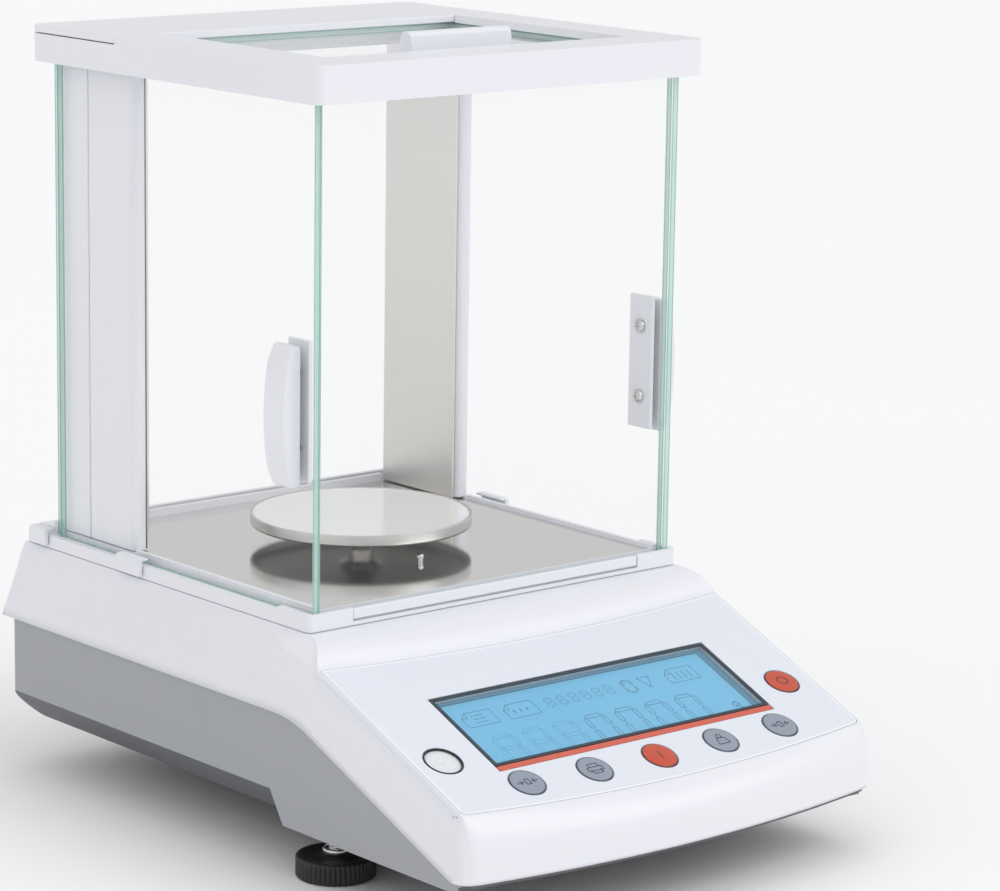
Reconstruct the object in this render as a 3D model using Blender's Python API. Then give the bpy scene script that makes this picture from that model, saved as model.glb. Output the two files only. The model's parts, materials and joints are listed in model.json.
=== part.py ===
"""Analytical balance with a three-door glass draft shield.

Frame: metres, +X to the operator's right, +Y to the back, +Z up. The origin is on the bench, under the
centre of the balance's outline. Every piece is a closed solid in an object of its own.
"""
import math

import bmesh
import bpy
import numpy as np
from mathutils import Matrix, Vector

MM = 0.001
GAP = 0.3 * MM          # clearance kept between touching pieces

# Whole instrument
HALF_WIDTH = 107.3 * MM
BACK_Y = 160 * MM
SHELL_BOTTOM_Z = 20 * MM
COVER_FLOOR_Z = 96.8 * MM     # top of the upper cover, where the chamber frame stands
WALL = 3 * MM

# Upper cover and console
COVER_EDGE_Z = 65.5 * MM      # lower edge of the white cover, along the chamber
NOSE_Z = 24.6 * MM            # lower edge of the white cover, at the front
CONSOLE_SLOPE = math.radians(22.8)
CONSOLE_ORIGIN = Vector((0, -142.3 * MM, 51.3 * MM))
CONSOLE_TOP_Y = -56.8 * MM
CONSOLE_HALF = 104.4 * MM
CONSOLE_SIDE_DROP = 27.2 * MM
PLINTH_HALF = 96.8 * MM
PLINTH_FRONT_Y = -41.1 * MM
PLINTH_BACK_Y = 156.3 * MM

# Weighing chamber
GLASS = 3 * MM
GLASS_FRONT_Y = -39 * MM
DOOR_BACK_Y = 135.3 * MM
DOOR_FACE_X = 93.5 * MM
PLINTH_TOP_Z = 104 * MM
GLASS_FOOT_Z = 101.8 * MM
GLASS_TOP_Z = 305 * MM
CAP_Z = 302.8 * MM
CAP_TOP_Z = 317.7 * MM
CAP_HALF = 99.6 * MM
CAP_FRONT_Y = -48.3 * MM
CAP_BACK_Y = 145.9 * MM
HATCH_HALF = 77 * MM
HATCH_FRONT_Y = -24 * MM
HATCH_BACK_Y = 85 * MM
HATCH_GLASS_Z = 311 * MM
POST_FRONT_Y = 86.5 * MM
POST_SPLIT_Y = 118 * MM
POST_BACK_Y = 138.7 * MM
POST_IN_X = 82.5 * MM
POST_OUT_X = 90 * MM
REAR_PANE_Y = 139.3 * MM

# Weighing
PAN_RADIUS = 46.6 * MM
PAN_TOP_Z = 116.6 * MM
PAN_Y = 49.5 * MM

# Console fittings, in console coordinates: u to the right, v up the slope
WINDOW_HALF = 71.8 * MM
WINDOW_V = (19.6 * MM, 63.4 * MM)
KEY_RADIUS = 7.5 * MM
KEY_PITCH = 33 * MM
KEY_V = (7.2 * MM, 6.0 * MM, 5.2 * MM, 5.8 * MM, 6.6 * MM)
OFF_KEY = (88.9 * MM, 30.8 * MM)
LEVEL = (-90.5 * MM, 28.5 * MM)
LEVEL_RADIUS = 7.9 * MM

# Feet
FOOT_X = 89 * MM
FOOT_Y = -49 * MM
FOOT_RADIUS = 15.9 * MM
FOOT_HEIGHT = 8.8 * MM
STUD_RADIUS = 3.1 * MM
REAR_FOOT_Y = 138 * MM


# ---------------------------------------------------------------- helpers

def clear_scene():
    for item in list(bpy.data.objects):
        bpy.data.objects.remove(item)


def material(name, color, roughness=0.4, metallic=0.0, alpha=1.0):
    mat = bpy.data.materials.new(name)
    mat.use_nodes = True
    shader = mat.node_tree.nodes["Principled BSDF"]
    shader.inputs["Base Color"].default_value = (*color, 1.0)
    shader.inputs["Roughness"].default_value = roughness
    shader.inputs["Metallic"].default_value = metallic
    shader.inputs["Alpha"].default_value = alpha
    mat.diffuse_color = (*color, alpha)
    return mat


WHITE = dict(color=(0.86, 0.87, 0.89), roughness=0.32)
GREY = dict(color=(0.33, 0.34, 0.35), roughness=0.5)
STEEL = dict(color=(0.62, 0.60, 0.57), roughness=0.28, metallic=1.0)
CLEAR = dict(color=(0.80, 0.95, 0.90), roughness=0.03, alpha=0.3)
BLACK = dict(color=(0.02, 0.02, 0.02), roughness=0.5)
ALLOY = dict(color=(0.70, 0.70, 0.71), roughness=0.4, metallic=1.0)
BOARD = dict(color=(0.03, 0.22, 0.10), roughness=0.5)
RED = dict(color=(0.78, 0.12, 0.05), roughness=0.35)
KEY_GREY = dict(color=(0.42, 0.45, 0.52), roughness=0.4)


def finish(name, bm, look, smooth_angle=None, parent=None, location=(0, 0, 0)):
    """Turn a bmesh into a named object with its own material."""
    bmesh.ops.recalc_face_normals(bm, faces=bm.faces)
    mesh = bpy.data.meshes.new(name)
    bm.to_mesh(mesh)
    bm.free()
    if smooth_angle is not None:
        mesh.shade_smooth()
        mesh.set_sharp_from_angle(angle=math.radians(smooth_angle))
    obj = bpy.data.objects.new(name, mesh)
    obj.location = location
    obj.parent = parent
    bpy.context.scene.collection.objects.link(obj)
    if look is None:
        obj.hide_render = True
        obj.display_type = "WIRE"
    else:
        mesh.materials.append(material(name + "_finish", **look))
    return obj


def prism(name, outline, axis, low, high, look, parent=None, smooth_angle=None):
    """Extrude a closed 2D outline along an axis. The outline is in the other two axes, in X, Y, Z order."""
    others = [k for k in range(3) if k != axis]
    bm = bmesh.new()
    ring = []
    for a, b in outline:
        point = [0.0, 0.0, 0.0]
        point[others[0]] = a
        point[others[1]] = b
        point[axis] = low
        ring.append(bm.verts.new(point))
    face = bm.faces.new(ring)
    extruded = bmesh.ops.extrude_face_region(bm, geom=[face])
    shift = Vector([0.0, 0.0, 0.0])
    shift[axis] = high - low
    moved = [item for item in extruded["geom"] if isinstance(item, bmesh.types.BMVert)]
    bmesh.ops.translate(bm, verts=moved, vec=shift)
    return finish(name, bm, look, smooth_angle, parent)


def box(name, low, high, look, parent=None, bevel=0.0):
    """Axis-aligned block, with all its edges rounded by bevel."""
    low, high = Vector(low), Vector(high)
    bm = bmesh.new()
    bmesh.ops.create_cube(bm, size=1.0)
    size = high - low
    bmesh.ops.transform(bm, matrix=Matrix.Diagonal((*size, 1.0)), verts=bm.verts)
    bmesh.ops.translate(bm, verts=bm.verts, vec=(low + high) / 2)
    if bevel:
        bmesh.ops.bevel(bm, geom=bm.edges[:], offset=bevel, segments=2, profile=0.5, affect="EDGES")
    return finish(name, bm, look, 35 if bevel else None, parent)


def lathe(name, profile, look, segments=48, location=(0, 0, 0), parent=None):
    """Turn a (radius, z) profile about Z. Points at radius 0 become poles."""
    bm = bmesh.new()
    rings = []
    for radius, z in profile:
        if radius == 0:
            rings.append([bm.verts.new((0, 0, z))])
        else:
            turn = [2 * math.pi * k / segments for k in range(segments)]
            rings.append([bm.verts.new((radius * math.cos(t), radius * math.sin(t), z)) for t in turn])
    closed = rings + [rings[0]] if profile[0][0] else rings
    for lower, upper in zip(closed, closed[1:]):
        for k in range(segments):
            n = (k + 1) % segments
            if len(lower) == 1:
                bm.faces.new((lower[0], upper[n], upper[k]))
            elif len(upper) == 1:
                bm.faces.new((lower[k], lower[n], upper[0]))
            else:
                bm.faces.new((lower[k], lower[n], upper[n], upper[k]))
    return finish(name, bm, look, 35, parent, location)


def rounded_rectangle(half_x, low_y, high_y, radius, steps=5):
    """Outline of a rectangle centred on x = 0, with round corners."""
    corners = ((half_x, low_y, -90), (half_x, high_y, 0), (-half_x, high_y, 90), (-half_x, low_y, 180))
    points = []
    for x, y, start in corners:
        cx = x - math.copysign(radius, x)
        cy = y + radius if y == low_y else y - radius
        for k in range(steps + 1):
            angle = math.radians(start + 90 * k / steps)
            points.append((cx + radius * math.cos(angle), cy + radius * math.sin(angle)))
    return points


def boolean(target, tool, operation="DIFFERENCE"):
    """Cut, join or intersect the target with a tool that isn't a piece itself."""
    modifier = target.modifiers.new(tool.name, "BOOLEAN")
    modifier.operation = operation
    modifier.object = tool


def cut_box(target, low, high, parent=None):
    tool = box(f"{target.name}_cut_{len(target.modifiers)}", low, high, None, parent)
    boolean(target, tool)


def add_box(target, low, high):
    tool = box(f"{target.name}_add_{len(target.modifiers)}", low, high, None)
    boolean(target, tool, "UNION")


def cut_hole(target, center, radius, low, high, segments=32, parent=None):
    """Round hole along the local Z axis."""
    tool = lathe(f"{target.name}_hole_{len(target.modifiers)}",
                 [(0, low), (radius, low), (radius, high), (0, high)], None, segments,
                 (center[0], center[1], 0), parent)
    boolean(target, tool)


def console_frame():
    """Empty whose X is u, whose Y is v up the slope, and whose Z stands off the console."""
    frame = bpy.data.objects.new("console_frame", None)
    frame.location = CONSOLE_ORIGIN
    frame.rotation_euler = (CONSOLE_SLOPE, 0, 0)
    bpy.context.scene.collection.objects.link(frame)
    return frame


# ---------------------------------------------------------------- upper cover

def console_z(y):
    """Height of the console plane."""
    return CONSOLE_ORIGIN.z + (y - CONSOLE_ORIGIN.y) * math.tan(CONSOLE_SLOPE)


def cover_edge_z(y):
    """Lower edge of the cover: level along the chamber, then parallel to the console, then the nose."""
    slanted = console_z(y) - CONSOLE_SIDE_DROP
    blend = 5 * MM
    mix = np.clip(0.5 + (slanted - COVER_EDGE_Z) / (2 * blend), 0, 1)
    lower = slanted * (1 - mix) + COVER_EDGE_Z * mix - blend * mix * (1 - mix)
    return max(float(lower), NOSE_Z)


def smooth(value):
    value = min(max(value, 0.0), 1.0)
    return value * value * (3 - 2 * value)


def mix(a, b, weight):
    return a + (b - a) * weight


def nose_corner(x):
    """How far the nose's front is rounded back towards its ends: part of an ellipse."""
    reach = max(abs(x) - 100.5 * MM, 0.0) / (6.8 * MM)
    return 4.5 * MM * (1 - math.sqrt(1 - min(reach, 1.0) ** 2))


def cover_rows(inset):
    """Rows of points across the cover, from its rear edge over the top to its front edge.

    Each row runs from the left edge to the right edge. inset moves the surface inwards by the wall.
    """
    half_columns = [0.25, 0.5, 0.75, 0.92, 0.965, 1]
    columns = [-share for share in reversed(half_columns)] + [0] + half_columns
    half = HALF_WIDTH - inset
    back = BACK_Y - inset
    nose_back_y = -143.2 * MM

    def bow(x):
        return 1 - min(abs(x) / CONSOLE_HALF, 1) ** 2

    def console_end_y(x):
        return -144.6 * MM - 6.4 * MM * bow(x) + nose_corner(x)

    def side(y, top_z, crease):
        """Three points from the crease down to the lower edge, as (x, y, z) on the right side."""
        weight = smooth((y - -2 * MM) / (CONSOLE_TOP_Y - -2 * MM))
        edge_z = cover_edge_z(y)
        shoulder_x = mix(98.4 * MM, 106 * MM, smooth(weight * 1.3)) - inset
        shoulder_z = mix(94 * MM - inset, top_z - 7.4 * MM, weight)
        middle_x = mix(102.6 * MM, 106.8 * MM, weight) - inset
        shoulder_z = max(shoulder_z, edge_z + 4 * MM)
        return [(crease, y, top_z), (shoulder_x, y, shoulder_z),
                (middle_x, y, mix(shoulder_z, edge_z, 0.5)), (half, y, edge_z)]

    def row(y_of_x, z_of_x, crease, right):
        top = [(k * crease, y_of_x(k * crease), z_of_x(k * crease)) for k in columns]
        left = [(-x, y, z) for x, y, z in reversed(right)]
        return left[:-1] + top + right[1:]

    rows = []
    rear = [(96.9 * MM - inset, back - 2.4 * MM, 96 * MM - inset), (98.4 * MM - inset, back - 2.2 * MM, 93 * MM - inset),
            (102.6 * MM - inset, back - 1.2 * MM, 79 * MM), (half, back, COVER_EDGE_Z)]
    flat = [(x, back, COVER_EDGE_Z) for x, _, _ in rear]
    rows.append(row(lambda x: back, lambda x: COVER_EDGE_Z, rear[0][0], flat))
    rows.append(row(lambda x: back - 2.4 * MM, lambda x: 96 * MM - inset, rear[0][0], rear))
    level = COVER_FLOOR_Z - inset
    crease = 96.9 * MM - inset
    for y in (back - 3.4 * MM, 110 * MM, 60 * MM, 20 * MM, 0, -12 * MM, -24 * MM, -34 * MM, PLINTH_FRONT_Y):
        rows.append(row(lambda x, y=y: y, lambda x: level, crease, side(y, level, crease)))
    for k in range(1, 6):                            # convex fall from the chamber down to the console
        turn = math.radians(78) * k / 5
        out = math.sin(turn) / math.sin(math.radians(78))
        down = (1 - math.cos(turn)) / (1 - math.cos(math.radians(78)))
        crease_k = mix(96.9 * MM, CONSOLE_HALF, smooth(k / 5)) - inset

        def fall_y(x, out=out):
            reach = PLINTH_FRONT_Y - CONSOLE_TOP_Y + 4.9 * MM * bow(x)
            return PLINTH_FRONT_Y + inset * out * 0.5 - reach * out

        def fall_z(x, out=out, down=down):
            end = console_z(fall_y(x, 1.0)) - inset
            return mix(level, end, down)

        y = fall_y(crease_k)
        rows.append(row(fall_y, fall_z, crease_k, side(y, fall_z(crease_k), crease_k)))
    crease = CONSOLE_HALF - inset
    for k in range(1, 6):                            # console plane, between its two bowed edges

        def plane_y(x, k=k):
            top = CONSOLE_TOP_Y - 4.9 * MM * bow(x)
            return mix(top, console_end_y(x), k / 5) + inset * 0.5

        y = max(plane_y(crease), nose_back_y + inset)
        rows.append(row(plane_y, lambda x: console_z(plane_y(x)) - inset, crease,
                        side(y, console_z(y) - inset, crease)))
        rows[-1][3] = (-crease, plane_y(crease), console_z(plane_y(crease)) - inset)
        rows[-1][-4] = (crease, plane_y(crease), console_z(plane_y(crease)) - inset)
    foot = (half, nose_back_y + inset, NOSE_Z)
    for k in range(1, 6):                            # rounded nose, down to its lower edge
        t = k / 5
        roll = min(t * 1.6, 1.0)

        def nose_y(x, roll=roll):
            end = -149.5 * MM - 10.5 * MM * bow(x) + nose_corner(x)
            return mix(console_end_y(x), end, 1 - (1 - roll) ** 2) + inset

        def nose_z(x, t=t):
            start = console_z(console_end_y(x)) - inset
            return mix(start, NOSE_Z, t * t * 0.35 + t * 0.65)

        z = nose_z(crease)
        front = nose_y(crease)
        right = [(crease, front, z),
                 (crease + 1.7 * MM, min(front + 1.4 * MM, foot[1]), max(z - 5.5 * MM * (1 - t), NOSE_Z)),
                 (half - 0.3 * MM, min(front + 3 * MM, foot[1]), max(z - 9 * MM * (1 - t), NOSE_Z)), foot]
        rows.append(row(nose_y, nose_z, crease, right))
    return rows


def shell_from_rows(name, outer, inner, look):
    """Closed solid between two open surfaces that share the shape of their rim."""
    bm = bmesh.new()

    def skin(rows, flip):
        verts = [[bm.verts.new(point) for point in row] for row in rows]
        for a, b in zip(verts, verts[1:]):
            for k in range(len(a) - 1):
                quad = (a[k], a[k + 1], b[k + 1], b[k])
                bm.faces.new(quad[::-1] if flip else quad)
        rim = verts[0] + [row[-1] for row in verts[1:]] + verts[-1][-2::-1] + [row[0] for row in verts[-2:0:-1]]
        return rim

    outer_rim = skin(outer, False)
    inner_rim = skin(inner, True)
    count = len(outer_rim)
    for k in range(count):
        n = (k + 1) % count
        bm.faces.new((outer_rim[k], outer_rim[n], inner_rim[n], inner_rim[k]))
    bmesh.ops.remove_doubles(bm, verts=bm.verts, dist=0.02 * MM)
    bmesh.ops.triangulate(bm, faces=bm.faces)
    return finish(name, bm, look, 30)


def upper_cover(console):
    cover = shell_from_rows("upper_cover", cover_rows(0.0), cover_rows(WALL), WHITE)
    recess = prism("overlay_recess", overlay_outline(GAP), 2, -1.05 * MM, 6 * MM, None, console)
    boolean(cover, recess)
    cut_box(cover, (-71.4 * MM, 20 * MM, -9 * MM), (71.4 * MM, 63 * MM, 2 * MM), console)
    for u, v in key_places():
        cut_hole(cover, (u, v), KEY_RADIUS + 0.5 * MM, -9 * MM, 2 * MM, 28, console)
    cut_hole(cover, LEVEL, LEVEL_RADIUS + GAP, -9 * MM, 2 * MM, 28, console)
    cut_hole(cover, (0, PAN_Y), 9 * MM, 85 * MM, 105 * MM)


# ---------------------------------------------------------------- console fittings

def key_places():
    """Centres of the six keys: the row along the lower edge, then the key at the right."""
    row = [((k - 2) * KEY_PITCH + 0.4 * MM, v) for k, v in enumerate(KEY_V)]
    return row + [OFF_KEY]


def overlay_outline(grow):
    """Film outline: straight sides, round lower corners, both long edges bowed towards the operator."""
    half = 103.6 * MM + grow
    corner = 3 * MM
    arc = [half - corner + corner * math.sin(math.radians(angle)) for angle in range(0, 91, 15)]
    right = [(half - corner) * k / 8 for k in range(8)] + arc
    lower = [-u for u in reversed(right[1:])] + right
    points = []
    for u in lower:                                  # lower edge, left to right
        reach = max(abs(u) - half + corner, 0.0) / corner
        v = -1.6 * MM - grow - 6.6 * MM * (1 - (u / half) ** 2) + corner * (1 - math.sqrt(max(1 - reach ** 2, 0)))
        points.append((u, v))
    for k in range(17):                              # upper edge, right to left
        u = mix(half, -half, k / 16)
        points.append((u, 91.6 * MM + grow - 5.0 * MM * (1 - (u / half) ** 2)))
    return points


def control_overlay(console):
    overlay = prism("control_overlay", overlay_outline(0.0), 2, -0.75 * MM, 0.05 * MM,
                    dict(color=(0.74, 0.78, 0.84), roughness=0.35), console)
    margin = WINDOW_HALF + GAP
    cut_box(overlay, (-margin, WINDOW_V[0] - GAP, -2 * MM), (margin, WINDOW_V[1] + GAP, 2 * MM), console)
    cut_box(overlay, (-margin, 16.2 * MM, -2 * MM), (margin, 19.5 * MM, 2 * MM), console)
    for u, v in key_places():
        cut_hole(overlay, (u, v), KEY_RADIUS + GAP, -2 * MM, 2 * MM, 32, console)
    cut_hole(overlay, LEVEL, LEVEL_RADIUS + GAP, -2 * MM, 2 * MM, 32, console)


def display(console):
    low, high = WINDOW_V
    bezel = prism("display_bezel", rounded_rectangle(WINDOW_HALF, low, high, 0.8 * MM, 2), 2, -0.75 * MM,
                  0.1 * MM, dict(color=(0.03, 0.04, 0.06), roughness=0.3), console)
    rim = 1.5 * MM
    cut_box(bezel, (-WINDOW_HALF + rim, low + rim, -2 * MM), (WINDOW_HALF - rim, high - rim, 2 * MM), console)
    inside = rim + GAP
    box("display_window", (-WINDOW_HALF + inside, low + inside, -0.75 * MM),
        (WINDOW_HALF - inside, high - inside, 0.05 * MM), dict(color=(0.6, 0.85, 0.95), roughness=0.05, alpha=0.25),
        console)
    box("lcd_module", (-71 * MM, 20.4 * MM, -8 * MM), (71 * MM, 62.6 * MM, -2.4 * MM),
        dict(color=(0.16, 0.55, 0.80), roughness=0.3), console)
    prism("accent_strip", rounded_rectangle(WINDOW_HALF, 16.5 * MM, 19.2 * MM, 1.2 * MM, 4), 2, -0.75 * MM,
          0.08 * MM, RED, console)
    box("key_board", (-100 * MM, -5 * MM, -13.6 * MM), (100 * MM, 66 * MM, -12 * MM), BOARD, console)


def keys(console):
    """Domed key caps, each with a stem that reaches for its switch on the key board."""
    names = ("tare_key_left", "print_key", "on_key", "calibrate_key", "tare_key_right", "off_key")
    cap = [(0, 0.6), (4.0, 0.55), (6.2, 0.42), (7.2, 0.25), (7.5, -0.05), (7.5, -2.0), (3.0, -2.0), (3.0, -10.6),
           (0, -10.6)]
    profile = [(radius * MM, z * MM) for radius, z in cap]
    for name, (u, v) in zip(names, key_places()):
        look = RED if name in ("on_key", "off_key") else KEY_GREY
        lathe(name, profile, look, 32, (u, v, 0), console)


def level_gauge(console):
    """Circular spirit level: a dark ring around a domed vial."""
    ring = [(7.9, -8.0), (7.9, 0.3), (7.2, 0.3), (7.2, -8.0)]
    lathe("level_ring", [(r * MM, z * MM) for r, z in ring], BLACK, 36, (*LEVEL, 0), console)
    vial = [(0, 0.9), (3.3, 0.75), (5.5, 0.35), (6.8, -0.2), (6.8, -7.6), (0, -7.6)]
    lathe("level_vial", [(r * MM, z * MM) for r, z in vial], dict(color=(0.72, 0.86, 0.80), roughness=0.1,
          alpha=0.6), 36, (*LEVEL, 0), console)


# ---------------------------------------------------------------- base

def shell_plan(side_x, back):
    """Plan outline of the tray: round rear corners, and a front edge that follows the bowed nose."""
    points = []
    for k in range(21):
        x = mix(-102 * MM, 102 * MM, k / 20)
        points.append((x, -148 * MM - 10.4 * MM * (1 - (x / CONSOLE_HALF) ** 2) + nose_corner(x)))
    points += [(104 * MM, -146.4 * MM), (105.2 * MM, -144.8 * MM), (side_x, -142.8 * MM)]
    rear = rounded_rectangle(side_x, -142.8 * MM, back, 7 * MM, 4)[5:15]
    return points + rear + [(-side_x, -142.8 * MM), (-105.2 * MM, -144.8 * MM), (-104 * MM, -146.4 * MM)]


def lower_shell():
    """Grey tray: the side outline, rounded in plan, chamfered along the lower edges and hollowed out."""
    side_x = 105.5 * MM
    back = 158.2 * MM
    front = -143.5 * MM
    tip = -160 * MM
    chamfer = 13.4 * MM
    heel = 8.5 * MM
    edge = [row[-1] for row in cover_rows(0.0)]
    top = [(back, COVER_EDGE_Z - GAP)] + [(y, z - GAP) for _, y, z in edge if -136 * MM < y < back]
    top = [point for k, point in enumerate(top) if k == 0 or point[0] < top[k - 1][0] - 0.1 * MM]
    lip_z = 23.0 * MM
    outline = top + [(-137.5 * MM, NOSE_Z - GAP), (tip, NOSE_Z - GAP), (tip, lip_z), (front, lip_z),
                     (front, SHELL_BOTTOM_Z)]
    for angle in range(0, 91, 15):                   # round lower edge at the back
        turn = math.radians(angle)
        outline.append((back - heel * (1 - math.sin(turn)), SHELL_BOTTOM_Z + heel * (1 - math.cos(turn))))
    shell = prism("lower_shell", outline, 0, -side_x, side_x, GREY)
    boolean(shell, prism("shell_plan", shell_plan(side_x + 0.1 * MM, back + 0.1 * MM), 2, 0, 0.12, None), "INTERSECT")
    for sign in (-1, 1):                             # chamfer that stops with a slanted end near the front
        boolean(shell, chamfer_tool(sign, side_x, chamfer))
    floor_z = SHELL_BOTTOM_Z + WALL
    hollow_x = side_x - WALL
    hollow_y = back - WALL
    section = [(-hollow_x, 0.12), (-hollow_x, floor_z + 12 * MM), (-hollow_x + 12 * MM, floor_z),
               (hollow_x - 12 * MM, floor_z), (hollow_x, floor_z + 12 * MM), (hollow_x, 0.12)]
    hollow = prism("shell_hollow", section, 1, front + WALL, hollow_y, None)
    rear = [(front, 0), (hollow_y - 12 * MM, floor_z), (hollow_y, floor_z + 12 * MM), (hollow_y, 0.13), (front, 0.13)]
    boolean(hollow, prism("shell_hollow_side", rear, 0, -0.12, 0.12, None), "INTERSECT")
    boolean(shell, hollow)
    for sign in (-1, 1):
        cut_hole(shell, (sign * FOOT_X, FOOT_Y), STUD_RADIUS + GAP, 10 * MM, 40 * MM, 24)
    cut_hole(shell, (0, REAR_FOOT_Y), 4.3 * MM, 10 * MM, 30 * MM, 24)
    cut_box(shell, (31.7 * MM, 150 * MM, 38.7 * MM), (46.3 * MM, 165 * MM, 51.3 * MM))
    cut_box(shell, (-56.3 * MM, 150 * MM, 37.7 * MM), (-23.7 * MM, 165 * MM, 52.3 * MM))


def chamfer_tool(sign, side_x, chamfer):
    """Triangular wedge along one lower side edge."""
    over = 1 * MM
    low, high = SHELL_BOTTOM_Z - over, SHELL_BOTTOM_Z + chamfer + over
    near = [(side_x - chamfer - over, low, -37 * MM), (side_x + over, low, -37 * MM), (side_x + over, high, -27 * MM)]
    bm = bmesh.new()
    front = [bm.verts.new((sign * x, y, z)) for x, z, y in near]
    back = [bm.verts.new((sign * x, 0.17, z)) for x, z, _ in near]
    bm.faces.new(front)
    bm.faces.new(back[::-1])
    for k in range(3):
        n = (k + 1) % 3
        bm.faces.new((front[k], back[k], back[n], front[n]))
    return finish(f"shell_chamfer_{'left' if sign < 0 else 'right'}", bm, None)


def chassis_plate():
    """Die-cast plate on the floor of the shell, with standoffs for the main board."""
    low = SHELL_BOTTOM_Z + WALL + GAP
    plate = box("chassis_plate", (-84 * MM, -90 * MM, low), (84 * MM, 140 * MM, low + 2 * MM), ALLOY)
    for x in (24, 78):
        for y in (30, 112):
            post = lathe(f"standoff_{x}_{y}", [(0, low + MM), (3 * MM, low + MM), (3 * MM, 31.7 * MM), (0, 31.7 * MM)],
                         None, 16, (x * MM, y * MM, 0))
            boolean(plate, post, "UNION")
    box("main_board", (18 * MM, 24 * MM, 32 * MM), (84 * MM, 118 * MM, 33.6 * MM), BOARD)


def load_cell():
    """Parallelogram block, fixed at its back end and carrying the pan spindle at its front end."""
    cell = box("load_cell", (-12 * MM, 36 * MM, 52 * MM), (12 * MM, 142 * MM, 78 * MM), ALLOY)
    for y in (72, 106):
        tool = lathe(f"cell_bore_{y}", [(0, -20 * MM), (8 * MM, -20 * MM), (8 * MM, 20 * MM), (0, 20 * MM)], None, 24,
                     (0, y * MM, 65 * MM))
        tool.rotation_euler = (0, math.pi / 2, 0)
        boolean(cell, tool)
    cut_box(cell, (-13 * MM, 72 * MM, 61 * MM), (13 * MM, 106 * MM, 69 * MM))
    box("load_cell_mount", (-12 * MM, 116 * MM, 25.6 * MM), (12 * MM, 142 * MM, 51.7 * MM), ALLOY)
    spindle = [(0, 78.3), (7.5, 78.3), (7.5, 82), (3.5, 84), (3.5, 108.5), (2.4, 112), (0, 112)]
    lathe("pan_spindle", [(r * MM, z * MM) for r, z in spindle], STEEL, 24, (0, PAN_Y, 0))


def feet():
    """Two knurled levelling feet at the front and one plain foot at the back."""
    flutes = 30
    for side, sign in (("left", -1), ("right", 1)):
        place = (sign * FOOT_X, FOOT_Y, 0)
        bm = bmesh.new()
        levels = ((0, 0.93), (0.8, 1.0), (FOOT_HEIGHT / MM - 0.8, 1.0), (FOOT_HEIGHT / MM, 0.93))
        rings = []
        for z, scale in levels:
            ring = []
            for k in range(flutes * 4):
                depth = (0, 0, 1, 1)[k % 4] * 0.45 * MM
                angle = 2 * math.pi * k / (flutes * 4)
                reach = (FOOT_RADIUS - depth) * scale
                ring.append(bm.verts.new((reach * math.cos(angle), reach * math.sin(angle), z * MM)))
            rings.append(ring)
        for a, b in zip(rings, rings[1:]):
            for k in range(len(a)):
                n = (k + 1) % len(a)
                bm.faces.new((a[k], a[n], b[n], b[k]))
        bm.faces.new(rings[0][::-1])
        bm.faces.new(rings[-1])
        finish(f"foot_wheel_{side}", bm, BLACK, 40, None, place)
        stud = [(0, 9.1), (5.2, 9.1), (5.2, 11.6), (3.1, 11.6)]
        turns = 15
        for k in range(turns):
            stud += [(3.1, 12.2 + k), (2.75, 12.7 + k)]
        stud += [(3.1, 27.4), (2.6, 28), (0, 28)]
        lathe(f"foot_stud_{side}", [(r * MM, z * MM) for r, z in stud], STEEL, 18, place)
    plain = [(0, 0), (10.5, 0), (11.5, 1.0), (12.5, 19.7), (4, 19.7), (4, 22.6), (0, 22.6)]
    lathe("rear_foot", [(r * MM, z * MM) for r, z in plain], BLACK, 32, (0, REAR_FOOT_Y, 0))


def connectors():
    """Round power inlet and nine-way serial port in the back wall."""
    inlet = box("power_inlet", (32 * MM, 145 * MM, 39 * MM), (46 * MM, 158.4 * MM, 51 * MM), BLACK)
    bore = lathe("inlet_bore", [(1.2 * MM, 0), (4 * MM, 0), (4 * MM, 0.02), (1.2 * MM, 0.02)], None, 24,
                 (39 * MM, 149 * MM, 45 * MM))
    bore.rotation_euler = (-math.pi / 2, 0, 0)
    boolean(inlet, bore)
    port = box("serial_port", (-56 * MM, 147 * MM, 38 * MM), (-24 * MM, 158.4 * MM, 52 * MM), STEEL)
    outline = [(-49 * MM, 50 * MM), (-50.5 * MM, 48.5 * MM), (-48 * MM, 40.5 * MM), (-46.5 * MM, 39.5 * MM),
               (-33.5 * MM, 39.5 * MM), (-32 * MM, 40.5 * MM), (-29.5 * MM, 48.5 * MM), (-31 * MM, 50 * MM)]
    boolean(port, prism("port_mouth", outline, 1, 151 * MM, 160 * MM, None))


# ---------------------------------------------------------------- weighing chamber

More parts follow.
